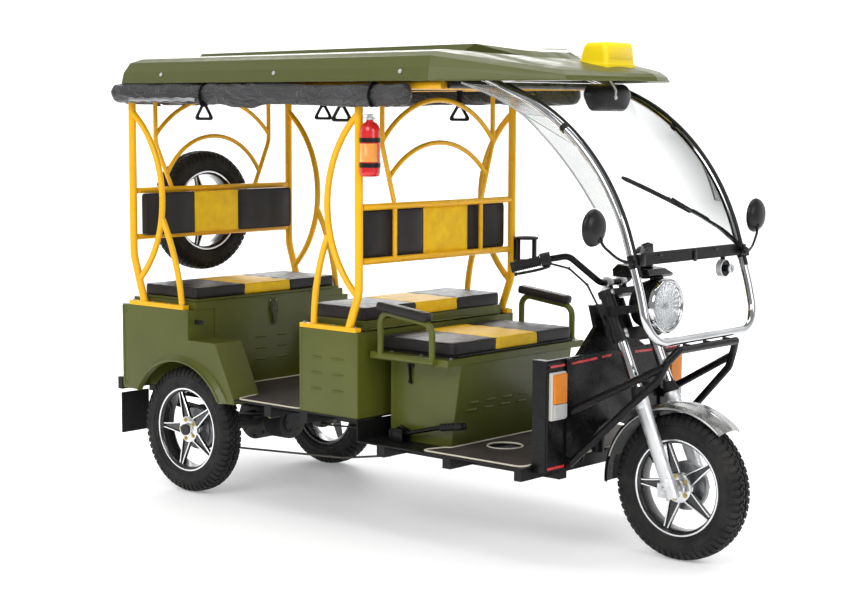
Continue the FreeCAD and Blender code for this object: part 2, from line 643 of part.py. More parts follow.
# ================================================================ rear body: sides, back, seat box
W, SK = val("body_half_w"), val("skin")
bx, top, low = val("body_rear_x"), val("body_top_z"), val("body_low_z")
sf, fz, ffx, ftx, fy = val("seat_face_x"), val("fender_top_z"), val("fender_front_x"), val("fender_toe_x"), val("fender_in_y")
ax, az, ar = val("rear_axle_x"), val("axle_z"), val("arch_r")
flz = val("rear_floor_z") - val("floor_t")
OUT = [(bx, low), (ftx, low), (ftx, flz), (ffx, fz), (sf, fz), (sf, top), (bx, top)]
outer = prism(OUT, "xz", fy, W)
IN = [(bx - 5, low - 5), (ftx - SK, low - 5), (ftx - SK - 1, flz), (ffx - SK, fz - SK), (sf - SK, fz - SK), (sf - SK, top - SK), (bx - 5, top - SK)]
hollow = prism(IN, "xz", fy + SK, W - SK)
flare = Part.makeCylinder(ar + 26, 22, Vector(ax, W - 1, az), Vector(0, 1, 0)).cut(
    Part.makeCone(ar + 26, ar + 2, 22, Vector(ax, W, az), Vector(0, 1, 0)).cut(Part.makeCylinder(ar, 40, Vector(ax, W - 5, az), Vector(0, 1, 0))))
flare = Part.makeCone(ar + 24, ar + 3, 22, Vector(ax, W - 0.5, az), Vector(0, 1, 0)).common(box(-1500, -600, W - 1, W + 30, low, 700))
side = fuse([outer.cut(hollow), flare])
side = side.cut(Part.makeCylinder(ar, 160, Vector(ax, fy + 20, az), Vector(0, 1, 0)))
side = side.Solids[0] if len(side.Solids) == 1 else max(side.Solids, key=lambda k: k.Volume)
plain("rear_body_sides", pair(side))

b = new_body("rear_panel")
pad(b, outline(b, "rear_panel_face", "YZ_Plane", [[(-D.body_half_w, D.body_low_z), (D.body_half_w, D.body_low_z),
    (D.body_half_w, D.body_top_z), (-D.body_half_w, D.body_top_z)]], [(-60, 470, 3.3), (60, 470, 3.3)]), D.skin + 1, both=False)
place(b, D.body_rear_x - D.skin - 1.2, 0, 0)
keep(b, "rear_panel")

b = new_body("rear_seat_box")
xr, xf, zt = D.seat_box_rear_x, D.seat_face_x, D.seat_box_top_z
loop = [(-D.fender_in_y + 0.5, D.rear_floor_z), (D.fender_in_y - 0.5, D.rear_floor_z), (D.fender_in_y - 0.5, D.body_top_z + 1),
        (D.body_half_w - 36, D.body_top_z + 1), (D.body_half_w - 36, zt), (-D.body_half_w + 36, zt),
        (-D.body_half_w + 36, D.body_top_z + 1), (-D.fender_in_y + 0.5, D.body_top_z + 1)]
pad(b, outline(b, "rear_seat_box_face", "YZ_Plane", [loop]), xf - xr + 3, both=False)
pocket(b, outline(b, "rear_seat_box_hollow", "XY_Plane", [[(4, -D.fender_in_y + 4), (xf - xr - 1, -D.fender_in_y + 4),
       (xf - xr - 1, D.fender_in_y - 4), (4, D.fender_in_y - 4)]]), 4000)
place(b, xr, 0, 0)
keep(b, "rear_seat_box")

# ================================================================ boxes under the other seats
b = new_body("mid_box")
x0, x1 = D.mid_box_x0, D.mid_box_x1
wl = D.mid_box_wall
pad(b, outline(b, "mid_box_plan", "XY_Plane", [[(x0, -D.body_half_w + 4), (x1, -D.body_half_w + 4), (x1, D.body_half_w - 4), (x0, D.body_half_w - 4)]]),
    D.mid_box_top_z - D.rear_floor_z - 0.3, both=False)
hol = outline(b, "mid_box_hollow", "XZ_Plane", [[(x0 + wl, 3), (x1 - wl, 3), (x1 - wl, 600), (x0 + wl, 600)]])
pocket(b, hol, D.body_half_w * 2 - 14)
place(b, 0, 0, D.rear_floor_z + 0.3)
keep(b, "mid_box")
keep(rounded("battery_round", block("battery_block", D.battery_x0, D.battery_x1, -D.battery_half_w, D.battery_half_w,
                                    D.battery_z0 + 0.6, D.battery_z0 + D.battery_h), 5, lambda e: abs(e.Vertexes[0].Z - e.Vertexes[-1].Z) > 50),
     "battery_pack")

b = new_body("driver_box")
z0, z1 = D.front_floor_z, D.driver_box_top_z
loop = [(D.driver_box_x0, 0), (D.driver_box_toe_x, 0), (D.driver_box_x1, z1 - z0), (D.driver_box_x0, z1 - z0)]
pad(b, outline(b, "driver_box_side", "XZ_Plane", [loop]), D.driver_box_half_w * 2)
loop = [(D.driver_box_x0 + 3, 3), (D.driver_box_toe_x - 3, 3), (D.driver_box_x1 - 2.5, z1 - z0 + 3.5), (D.driver_box_x0 + 3, z1 - z0 + 3.5)]
pocket(b, outline(b, "driver_box_hollow", "XZ_Plane", [loop]), D.driver_box_half_w * 2 - 6)
place(b, 0, 0, z0 + 0.2)
keep(b, "driver_box")
# the seat frame that lies on the box: an open tray that the lid rests on
b = new_body("seat_tray")
th = D.driver_tray_half_w
pad(b, outline(b, "seat_frame_plan", "XY_Plane", [[(30, -th), (400, -th), (400, th), (30, th)],
                                                 [(76, -300), (352, -300), (352, 300), (76, 300)]]), 24, both=False)
place(b, 0, 0, D.driver_tray_top_z - 24.5)
tray = b

# arm rests: bent tube loops with a pad
loopy = val("driver_tray_half_w")
arm = fuse([tube([(92, loopy + 11, 642), (92, loopy + 11, 800), (336, loopy + 11, 770), (336, loopy + 11, 642)], 11.5, [40, 40]),
            tube([(80, loopy + 11, 640), (348, loopy + 11, 640)], 12.5)])
loops = doc.addObject("Part::Feature", "armrest_loops")
loops.Shape = pair(arm)
keep(joined("seat_frame_whole", [tray, loops]), "driver_seat_frame")
ap = rings([[(90, loopy - 8, 803), (90, loopy + 32, 803), (318, loopy + 32, 775), (318, loopy - 8, 775)],
            [(86, loopy - 12, 818), (86, loopy + 36, 818), (322, loopy + 36, 790), (322, loopy - 12, 790)],
            [(92, loopy - 4, 834), (92, loopy + 28, 834), (316, loopy + 28, 806), (316, loopy - 4, 806)]])
plain("armrest_pads", pair(ap.cut(tube([(92, loopy + 11, 642), (92, loopy + 11, 800), (336, loopy + 11, 770), (336, loopy + 11, 642)], 11.6, [40, 40]))))

# ================================================================ seat lids and cushions
# name, tray box (x0, x1, half width, z0, z1)
LIDS = (
    ("rear_seat_lid", D.rear_cushion_x0 - 4, D.rear_cushion_x1 + 14, D.rear_cushion_half_w + 2, D.seat_box_top_z + 0.5, D.rear_cushion_z),
    ("mid_seat_lid", D.mid_cushion_x0, D.mid_cushion_x1, D.mid_cushion_half_w, D.mid_box_top_z + 0.5, D.mid_cushion_z),
    ("driver_seat_lid", D.driver_cushion_x0, D.driver_cushion_x1, D.driver_cushion_half_w, D.driver_tray_top_z + 0.2, D.driver_cushion_z),
)
# the knuckle of the piano hinge along one edge: x of its middle, height above the tray's underside
KNUCKLE = {"rear_seat_lid": (D.rear_cushion_x0 - 6.5, 4.0), "mid_seat_lid": (D.mid_cushion_x1 + 2.5, 4.0), "driver_seat_lid": (D.driver_cushion_x1 + 2.5, 4.0)}
for name, a0, a1, hw, c0, c1 in LIDS:
    kx, kz = KNUCKLE[name]
    keep(joined(name + "_whole", [block(name + "_plate", a0, a1, -hw, hw, c0, c1 - 0.3),
                                  rod(name + "_hinge", 3.5, hw * 2 - 40, kx, -hw + 20, c0 + kz)]), name)
CUSHIONS = (
    ("rear_cushion", D.rear_cushion_x0, D.rear_cushion_x1, D.rear_cushion_half_w, D.rear_cushion_z, D.rear_cushion_t),
    ("mid_cushion", D.mid_cushion_x0, D.mid_cushion_x1, D.mid_cushion_half_w, D.mid_cushion_z, D.mid_cushion_t),
    ("driver_cushion", D.driver_cushion_x0, D.driver_cushion_x1, D.driver_cushion_half_w, D.driver_cushion_z, D.driver_cushion_t),
)
for name, a0, a1, hw, z0, tt in CUSHIONS:
    raw = block(name + "_block", a0, a1, -hw, hw, z0, z0 + tt)
    ztop = (z0 + tt).v
    keep(rounded(name + "_round", raw, val("cushion_round"), lambda e, q=ztop: all(abs(v.Z - q) < 1e-6 for v in e.Vertexes)), name)

# ================================================================ yellow frames
py, pr, br = val("post_y"), val("post_r"), val("bow_r")
rx, mx = val("rear_post_x"), val("mid_post_x")
post_top = val("roof_rail_z") - val("roof_rail_r") - 0.3
FRAMES = (
    # label, foot bar (x0, x1, z0, z1), post corners, upper bow, lower arc
    ("rear_side_frames", (-1250, -922, top + 0.4, top + 17), [(rx, post_top), (rx, 929), (-1170, top + 8)],
     [(rx, 1499), (-1061, 1221), (-1196, 836)], [(-1056, 1078), (-983, 920), (-944, top + 8)]),
    ("mid_side_frames", (-273, 10, val("mid_box_top_z") + 0.4, val("mid_box_top_z") + 16), [(mx, post_top), (mx, 859), (-36, val("mid_box_top_z") + 8)],
     [(mx, 1499), (-142, 1203), (8, 846)], [(-139, 1062), (-192, 910), (-213, val("mid_box_top_z") + 8)]),
)
side_solids = []
for label, (fx0, fx1, fz0, fz1), post, upper, lower_arc in FRAMES:
    at = lambda q: (q[0], py, q[1])
    s = fuse([tube([at(q) for q in post], pr, [130]), bow(at(upper[0]), at(upper[1]), at(upper[2]), br),
              bow(at(lower_arc[0]), at(lower_arc[1]), at(lower_arc[2]), br), box(fx0, fx1, py - 15, py + 15, fz0, fz1)])
    s = s.cut(box(-1400, 200, py - 60, py + 60, 600, fz0))
    side_solids += pair(s).Solids
plain("side_frames", Part.makeCompound(side_solids))

ARCHES = (
    # label, x, beam heights, inner post (half gap at top, bend height, half gap at the beam), arcs (end height, top height)
    ("rear_arch_frame", rx, val("rear_beam_hi_z"), val("rear_beam_lo_z"), 313, 1373, 228, ((1404, 1551), (1245, 1399))),
    ("mid_arch_frame", mx, val("mid_beam_hi_z"), val("mid_beam_lo_z"), 311, 1386, 243, ((1397, 1547), (1266, 1390))),
)
at_r = val("arch_tube_r")
arch_solids = []
sp = val("spare_x")
carrier = [box(rx - 24, rx - 6, -20, 20, val("rear_beam_lo_z") - 4, val("rear_beam_hi_z") + 4),
           Part.makeCylinder(val("rear_spindle_r") - 0.3, 80, Vector(rx - 20, 0, val("spare_z")), Vector(-1, 0, 0)),
           Part.makeCylinder(30, (rx - 22) - (sp + 36.4), Vector(sp + 36.4, 0, val("spare_z")), Vector(1, 0, 0))]
for label, x, hi, lo, y_top, z_bend, y_beam, arcs in ARCHES:
    span = py - pr - 0.3
    shapes = [tube([(x, -span, hi), (x, span, hi)], br)]
    z_top = val("roof_rail_z") - 12.4
    for sgn in (1, -1):
        run = [(x, sgn * y_top, z_top), (x, sgn * y_top, z_bend), (x, sgn * y_beam, hi)]
        if label.startswith("mid"):
            shapes.append(tube([(x, sgn * y_beam, hi), (x, sgn * y_beam, lo)], at_r - 0.5))
        shapes.append(tube(run, at_r, [90]))
    for z_end, z_arc in arcs:
        k = (z_end - hi) / (z_bend - hi)
        ye = y_top if z_end >= z_bend else y_beam + (y_top - y_beam) * k
        shapes.append(bow((x, -ye, z_end), (x, 0, z_arc), (x, ye, z_end), at_r - 0.3))
    low_beam = tube([(x, -span, lo), (x, span, lo)], br)
    whole_arch = fuse(shapes + [low_beam] + (carrier if label.startswith("rear") else []))
    arch_solids += whole_arch.Solids
plain("arch_frames", Part.makeCompound(arch_solids))

# back rests: upholstered boards fixed to the arch frames
rests = []
for label, x0, x1, lo, hi in (("rear_backrest", rx + br + 0.4, rx + br + val("pad_t"), val("rear_beam_lo_z"), val("rear_beam_hi_z")),
                              ("mid_backrest", mx - br - val("pad_t"), mx - br - 0.4, val("mid_beam_lo_z"), val("mid_beam_hi_z"))):
    raw = block(label + "_block", x0, x1, -D.pad_half_w, D.pad_half_w, lo + 4, hi - 8)
    rests.append(rounded(label + "_round", raw, 8, lambda e: abs(e.Vertexes[0].X - e.Vertexes[-1].X) > 20))
keep(group("backrests", rests), "backrests")

# ================================================================ roof
rz, rr = val("roof_rail_z"), val("roof_rail_r")
hy, hrr = val("hoop_y"), val("hoop_r")
rails = []
for sgn in (1, -1):
    rails.append(rod("roof_rail_%d" % (sgn + 1), D.roof_rail_r, 1660, D.rear_post_x - 16, D.post_y * sgn, D.roof_rail_z, "x"))
for k, x in enumerate((D.rear_post_x, D.mid_post_x, size(418))):
    rails.append(rod("roof_beam_%d" % k, 12, D.post_y * 2 - D.roof_rail_r * 2 - 1, x, -D.post_y + D.roof_rail_r + 0.5, D.roof_rail_z, "y"))
keep(group("roof_rails", rails), "roof_rails")

# half outlines of the roof, one ring above the other: lower edge, side, shoulder, brow, top;
# x, y, z, from the rear middle round the left side to the front middle
ROOF_LOW = [(-1262, 0), (-1262, 452), (-1226, 490), (390, 490), (829, 300), (948, 118), (984, 0)]
ROOF_SIDE = [(-1252, 0, 1650), (-1252, 446, 1650), (-1218, 484, 1652), (388, 484, 1656), (822, 296, 1628), (942, 116, 1624), (978, 0, 1624)]
ROOF_SHOULDER = [(-1226, 0, 1687), (-1226, 432, 1686), (-1198, 467, 1689), (384, 468, 1694), (800, 284, 1646), (924, 108, 1635), (960, 0, 1635)]
ROOF_BROW = [(-1184, 0, 1703), (-1184, 412, 1702), (-1160, 438, 1704), (378, 440, 1710), (764, 262, 1658), (890, 100, 1644), (928, 0, 1644)]
ROOF_TOP = [(-1096, 0, 1712), (-1096, 372, 1709), (-1080, 388, 1710), (376, 384, 1717), (640, 190, 1690), (676, 90, 1686), (690, 0, 1685)]
ROOF_CROWN_LO = [(-1040, 0, 1700), (-1040, 262, 1700), (-1020, 276, 1700), (330, 276, 1700), (560, 150, 1690), (600, 70, 1688), (612, 0, 1688)]
ROOF_CROWN_HI = [(-1030, 0, 1730), (-1030, 240, 1727), (-1012, 256, 1727), (400, 256, 1739), (520, 130, 1717), (548, 60, 1713), (556, 0, 1713)]


def whole(half, z=None, shrink=0.0, dz=0.0):
    cx = -100
    pts = [(p[0], p[1], (p[2] if z is None else z) + dz) for p in half]
    pts = [(cx + (a - cx) * (1 - shrink / (1160.0 if a < cx else 1084.0)), b * (1 - shrink / 490.0), c) for a, b, c in pts]
    return pts + [(a, -b, c) for a, b, c in reversed(pts[1:-1])]


rl, rth = val("roof_low_z"), val("roof_t")
shell = rings([whole(ROOF_LOW, rl)] + [whole(k) for k in (ROOF_SIDE, ROOF_SHOULDER, ROOF_BROW, ROOF_TOP)]).fuse(
    rings([whole(ROOF_CROWN_LO), whole(ROOF_CROWN_HI)]))
inside = rings([whole(ROOF_LOW, rl + rth, rth), whole(ROOF_SIDE, None, rth)] +
               [whole(k, None, rth, -rth) for k in (ROOF_SHOULDER, ROOF_BROW, ROOF_TOP)])
mouth = rings([whole(ROOF_LOW, rl - 2, 74), whole(ROOF_LOW, rl + rth + 2, 74)])
crown_in = rings([whole(ROOF_CROWN_LO, 1684, 20), whole(ROOF_CROWN_HI, None, 20, -rth)])
roof = shell.cut(inside).cut(crown_in).cut(mouth)
roof_outer = shell
plain("roof_panel", roof.Solids[0] if len(roof.Solids) == 1 else roof)
sign = rings([[(708, -85, 1640), (836, -85, 1640), (836, 85, 1640), (708, 85, 1640)],
              [(716, -83, 1680), (832, -83, 1680), (832, 83, 1680), (716, 83, 1680)],
              [(730, -83, 1728), (827, -83, 1728), (827, 83, 1728), (730, 83, 1728)],
              [(744, -74, 1742), (818, -74, 1742), (818, 74, 1742), (744, 74, 1742)]])
plain("roof_sign", sign.cut(roof_outer))

# ================================================================ windscreen and its hoop
HOOP_SIDE = [(40, 1633), (470, 1633), (988, 1432), (1152, 925), (1187, hoop_bottom_z)]
half = [(x, hy, z) for x, z in HOOP_SIDE]
hoop = tube(half + [(x, -y, z) for x, y, z in reversed(half)], hrr, [300, 760, 800, 95, 95, 800, 760, 300])
plain("windscreen_hoop", hoop)
screen_path = path([(540, 0, 1633 - (540 - 470) * 201 / 518.0), (988, 0, 1432), (1131, 0, 990)], [760])
p, d = start_of(screen_path)
n = d.cross(Vector(0, 1, 0)).normalize()
hw, t2 = val("screen_half_w"), val("screen_t") / 2
sec = Part.makePolygon([p + n * t2 + Vector(0, -hw, 0), p + n * t2 + Vector(0, hw, 0), p - n * t2 + Vector(0, hw, 0),
                        p - n * t2 + Vector(0, -hw, 0), p + n * t2 + Vector(0, -hw, 0)])
screen = swept(screen_path, sec)
screen = screen.cut(box(1000, 1300, -400, 400, 900, val("bar_z") + 18.3))
plain("windscreen", screen)
screen_bar = block("screen_bar", 1120, 1141, -D.screen_half_w, D.screen_half_w, D.bar_z - 17, D.bar_z + 18)

# side air deflectors: between the hoop's tube and an outer rim, x, |y|, z
RIM_PTS = [(500, 444, 1602), (625, 430, 1560), (745, 420, 1501), (865, 400, 1385), (940, 380, 1289), (990, 356, 1200)]
TUBE_PTS = [(566, 338, 1592), (660, 338, 1552), (776, 338, 1492), (902, 338, 1396), (986, 338, 1300), (1040, 338, 1196)]
# each strip is two flat triangles, and every triangle is made thick along one and the same direction
facets = []
for i in range(len(TUBE_PTS) - 1):
    a, b = Vector(*TUBE_PTS[i]), Vector(*TUBE_PTS[i + 1])
    c, d = Vector(*RIM_PTS[i]), Vector(*RIM_PTS[i + 1])
    for tri in ((a, b, c), (b, d, c)):
        facets.append(Part.Face(Part.makePolygon(list(tri) + [tri[0]])).extrude(Vector(-2.2, 0, -2.4)))
visor = fuse(facets)
plain("side_deflectors", pair(visor))

# wiper: spindle on the bar, arm and blade standing off the glass
bz = val("bar_z")
ww = fuse([Part.makeCylinder(9, 24, Vector(1136, 290, bz), Vector(1, 0, 0)),
           tube([(1155, 290, bz), (1118, 200, 1112)], 4), tube([(1118, 201, 1111), (1072, -34, 1222)], 4)])
# the bar under the glass carries the wiper and a horn
fittings = doc.addObject("Part::Feature", "bar_fittings")
horn = fuse([Part.makeCylinder(28, 16, Vector(1128, 186, bz - 56), Vector(1, 0, 0)), Part.makeCylinder(8, 44, Vector(1134, 186, bz - 56), Vector(0, 0, 1)),
             Part.makeCylinder(12, 26, Vector(1138, 186, bz - 56), Vector(1, 0, 0))])
fittings.Shape = Part.makeCompound([ww, horn])
keep(joined("windscreen_bar_whole", [screen_bar, fittings]), "windscreen_bar")

# mirrors
stalk = tube([(1138, 338, 1024), (1120, 400, 1040), (1096, 462, 1092)], 5, [40])
headm = fuse([Part.makeCylinder(60, 22, Vector(1074, 483, 1143), Vector(1, 0, 0)), tube([(1096, 462, 1092), (1092, 470, 1104)], 5), Part.makeSphere(5, Vector(1096, 462, 1092))])
outside = pair(fuse([stalk, headm])).Solids
inside_mirror = fuse([rings([[(766, -106, 1509), (790, -106, 1509), (790, 106, 1509), (766, 106, 1509)],
                                  [(764, -143, 1566), (794, -143, 1566), (794, 143, 1566), (764, 143, 1566)],
                                  [(768, -112, 1598), (788, -112, 1598), (788, 112, 1598), (768, 112, 1598)]]),
                      tube([(778, 0, 1588), (760, 0, val("roof_low_z") + 30), (752, 0, 1662)], 6, [30])]).cut(roof)
inside_mirror = max(inside_mirror.Solids, key=lambda k: k.Volume)
plain("mirrors", Part.makeCompound(outside + [inside_mirror]))

# ================================================================ things carried on the frames
rolls = []
for sgn in (1, -1):
    rolls.append((sgn, -1262, 300))
curt = []
for sgn, x0, x1 in rolls:
    e = Part.Face(Part.Wire(Part.Ellipse(Vector(0, 0, 0), 42, 29).toShape()))
    e.rotate(Vector(0, 0, 0), Vector(0, 1, 0), 90)
    e.translate(Vector(x0, sgn * 478, 1566))
    curt.append(e.extrude(Vector(x1 - x0, 0, 0)))
e = Part.Face(Part.Wire(Part.Ellipse(Vector(0, 0, 0), 40, 24).toShape()))
e.rotate(Vector(0, 0, 0), Vector(0, 1, 0), 90)
e.rotate(Vector(0, 0, 0), Vector(0, 0, 1), 90)
e.translate(Vector(-1280, -444, 1567))
plain("curtain_rolls", Part.makeCompound(curt + [e.extrude(Vector(0, 888, 0))]))

hang_y, hang_z, hw2 = 330, 1591.5, 46
handles = []
for x in (-920, -170):
    handles += [tube([(x, hang_y, hang_z), (x, hang_y, 1524)], 8),
                tube([(x - 8, hang_y, 1524), (x - hw2, hang_y, 1473), (x + hw2, hang_y, 1473), (x + 8, hang_y, 1524)], 5, [10, 10]),
                tube([(x - 14, hang_y, 1524), (x + 14, hang_y, 1524)], 6)]
rail = tube([(rx + 12.3, hang_y, hang_z), (mx - 12.3, hang_y, hang_z)], 7)
plain("grab_rails", pair(fuse([rail] + handles)))

ex, ey = mx + 62, -py
b = new_body("extinguisher")
loop = [(0, 0), (30, 0), (36, 8), (36, 160), (32, 178), (20, 190), (12, 194), (12, 206), (15, 208), (15, 224), (0, 224)]
turned(b, outline(b, "extinguisher_section", "XZ_Plane", [loop]))
place(b, D.mid_post_x + 54, -D.post_y, 1277)
keep(b, "extinguisher")
plain("bottle_holder", fuse([
    Part.makeCylinder(47, 8, Vector(mx + 74, py, 1012), Vector(0, 0, 1)).cut(Part.makeCylinder(43, 12, Vector(mx + 74, py, 1010), Vector(0, 0, 1))),
    Part.makeCylinder(47, 5, Vector(mx + 74, py, 924), Vector(0, 0, 1)).cut(Part.makeCylinder(36, 12, Vector(mx + 74, py, 920), Vector(0, 0, 1))),
    box(mx + pr + 0.4, mx + pr + 14, py - 5, py + 5, 924, 1020),
    box(mx + 74 + 43.2, mx + 74 + 46.5, py - 6, py + 6, 924, 1020),
    box(mx + 68, mx + 80, py + 43.6, py + 46.5, 924, 1020), box(mx + 68, mx + 80, py - 46.5, py - 43.6, 924, 1020)]))
plain("hand_brake", fuse([box(106, 150, -372, -330, val("front_floor_z") + 0.2, 372), tube([(128, -350, 352), (330, -350, 402), (440, -350, 420)], 8, [100]),
                          tube([(336, -350, 403.5), (440, -350, 420)], 13)]))

# ================================================================ running gear
sy, sw, st = val("spring_y"), val("spring_w"), val("spring_t")
L, ez, cz = val("spring_half_len"), val("spring_eye_z"), val("spring_seat_z") + 12
w = Part.Wire(Part.Arc(Vector(ax - L, sy - sw / 2, ez), Vector(ax, sy - sw / 2, cz), Vector(ax + L, sy - sw / 2, ez)).toShape())
p, d = start_of(w)
n = d.cross(Vector(0, 1, 0)).normalize()
sec = Part.makePolygon([p + n * 4, p - n * 4, p - n * 4 + Vector(0, sw, 0), p + n * 4 + Vector(0, sw, 0), p + n * 4])
leaf = swept(w, sec)
shorter = [leaf]
for k, cut in ((1, 0.72), (2, 0.48)):
    zz = cz - 8.0 * k
    w2 = Part.Wire(Part.Arc(Vector(ax - L * cut, sy - sw / 2, zz + (ez - cz) * cut * cut), Vector(ax, sy - sw / 2, zz),
                            Vector(ax + L * cut, sy - sw / 2, zz + (ez - cz) * cut * cut)).toShape())
    p2, d2 = start_of(w2)
    n2 = d2.cross(Vector(0, 1, 0)).normalize()
    sec2 = Part.makePolygon([p2 + n2 * 4.2, p2 - n2 * 4.2, p2 - n2 * 4.2 + Vector(0, sw, 0), p2 + n2 * 4.2 + Vector(0, sw, 0), p2 + n2 * 4.2])
    shorter.append(swept(w2, sec2))
eyes = [Part.makeCylinder(13, sw, Vector(ax + k * L, sy - sw / 2, ez), Vector(0, 1, 0)) for k in (1, -1)]
seat = box(ax - 40, ax + 40, sy - sw / 2, sy + sw / 2, az + 32.2, cz)
shackle = [box(ax + k * L - 10, ax + k * L + 10, sy - 20, sy + 20, ez, rt - rd - 0.2) for k in (1, -1)]
plain("leaf_springs", pair(fuse(shorter + eyes + [seat] + shackle)))

axle = [Part.makeCylinder(32, 2 * 325, Vector(ax, -325, az), Vector(0, 1, 0)), Part.makeCylinder(86, 120, Vector(ax, -60, az), Vector(0, 1, 0)),
        Part.makeCylinder(val("rear_spindle_r"), 2 * (val("rear_wheel_y") + 46), Vector(ax, -val("rear_wheel_y") - 46, az), Vector(0, 1, 0))]
for sgn in (1, -1):
    axle.append(Part.makeCylinder(90, 9, Vector(ax, sgn * 325 - (9 if sgn < 0 else 0), az), Vector(0, 1, 0)))
    axle.append(Part.makeCylinder(22, 10, Vector(ax, sgn * (val("rear_wheel_y") + 36.5) - (10 if sgn < 0 else 0), az), Vector(0, 1, 0)))
axle += [Part.makeCylinder(70, 110, Vector(ax + 60, 0, az), Vector(1, 0, 0)), Part.makeCylinder(50, 14, Vector(ax + 165, 0, az), Vector(1, 0, 0))]
for sgn in (1, -1):
    axle.append(tube([(ax + 10, sgn * 314, az - 74), (-180, sgn * 314, 222), (60, sgn * 314, 262)], 4, [300]))
    axle.append(box(ax, ax + 22, min(sgn * 308, sgn * 328), max(sgn * 308, sgn * 328), az - 80, az - 60))
plain("rear_axle", fuse(axle))

# rear bumper, flaps, lamps
plain("rear_bumper", fuse([box(-1350, -1322, -430, 430, 372, 422), box(-1322.5, val("rail_rear_x") - 0.3, 240, 290, 352, low - 0.5), box(-1322.5, val("rail_rear_x") - 0.3, -290, -240, 352, low - 0.5)]).cut(
    Part.makeCylinder(6.5, 60, Vector(-1360, -40, 397), Vector(1, 0, 0))).cut(Part.makeCylinder(6.5, 60, Vector(-1360, 40, 397), Vector(1, 0, 0))))
plain("rear_mudflaps", pair(box(-1310, -1305, 306, 446, 196, 362)))
keep(group("marker_lamps", front_lamps + [
    block("tail_lamp_left", D.body_rear_x - 22.2, D.body_rear_x - 4.2, 330, 410, 500, 660),
    block("tail_lamp_right", D.body_rear_x - 22.2, D.body_rear_x - 4.2, -410, -330, 500, 660)]), "marker_lamps")
# ================================================================ check and write
doc.recompute()
bad = [o.Name for o in doc.Objects if "Invalid" in o.State or "Error" in o.State]
if bad:
    raise SystemExit("failed objects: %s" % bad)
labels = [o.Label for o in PARTS]
if len(set(labels)) != len(labels):
    raise SystemExit("labels repeat: %s" % labels)
wrong = [o.Label for o in PARTS if o.Shape.isNull() or not o.Shape.isValid() or not o.Shape.Solids]
if wrong:
    raise SystemExit("null, not valid or without a solid: %s" % wrong)
os.makedirs("parts", exist_ok=True)
for old in os.listdir("parts"):
    os.remove(os.path.join("parts", old))
lo, hi = Vector(1e9, 1e9, 1e9), Vector(-1e9, -1e9, -1e9)
for o in PARTS:
    o.Shape.exportStep("parts/%s.step" % o.Label)
    bb = o.Shape.BoundBox
    lo = Vector(min(lo.x, bb.XMin), min(lo.y, bb.YMin), min(lo.z, bb.ZMin))
    hi = Vector(max(hi.x, bb.XMax), max(hi.y, bb.YMax), max(hi.z, bb.ZMax))
    print("%-24s solids %2d  volume %.0f cm3  box %s" % (o.Label, len(o.Shape.Solids), o.Shape.Volume / 1000.0,
          [round(k) for k in (bb.XMin, bb.YMin, bb.ZMin, bb.XMax, bb.YMax, bb.ZMax)]))
print("nodes", len(PARTS), "box", [round(k, 1) for k in lo], [round(k, 1) for k in hi])
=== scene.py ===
# Looks of the electric rickshaw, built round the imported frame.
import bpy
import bmesh
import math
import numpy as np
import mathutils.geometry
from mathutils import Vector, Matrix


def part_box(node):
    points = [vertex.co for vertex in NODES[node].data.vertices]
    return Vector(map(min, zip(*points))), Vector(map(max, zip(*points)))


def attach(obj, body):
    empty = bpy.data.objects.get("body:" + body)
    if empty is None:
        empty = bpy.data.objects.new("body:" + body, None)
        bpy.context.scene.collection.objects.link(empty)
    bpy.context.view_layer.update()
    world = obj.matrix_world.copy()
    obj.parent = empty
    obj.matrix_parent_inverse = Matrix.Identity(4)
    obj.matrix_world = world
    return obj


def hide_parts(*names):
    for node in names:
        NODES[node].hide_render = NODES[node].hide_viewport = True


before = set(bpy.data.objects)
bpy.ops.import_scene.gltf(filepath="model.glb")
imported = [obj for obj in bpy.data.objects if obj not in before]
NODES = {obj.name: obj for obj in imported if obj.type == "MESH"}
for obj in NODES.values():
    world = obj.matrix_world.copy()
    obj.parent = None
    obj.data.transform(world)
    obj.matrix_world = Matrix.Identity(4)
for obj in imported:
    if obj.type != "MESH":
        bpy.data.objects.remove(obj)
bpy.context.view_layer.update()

COLL = bpy.context.scene.collection
scene = bpy.context.scene


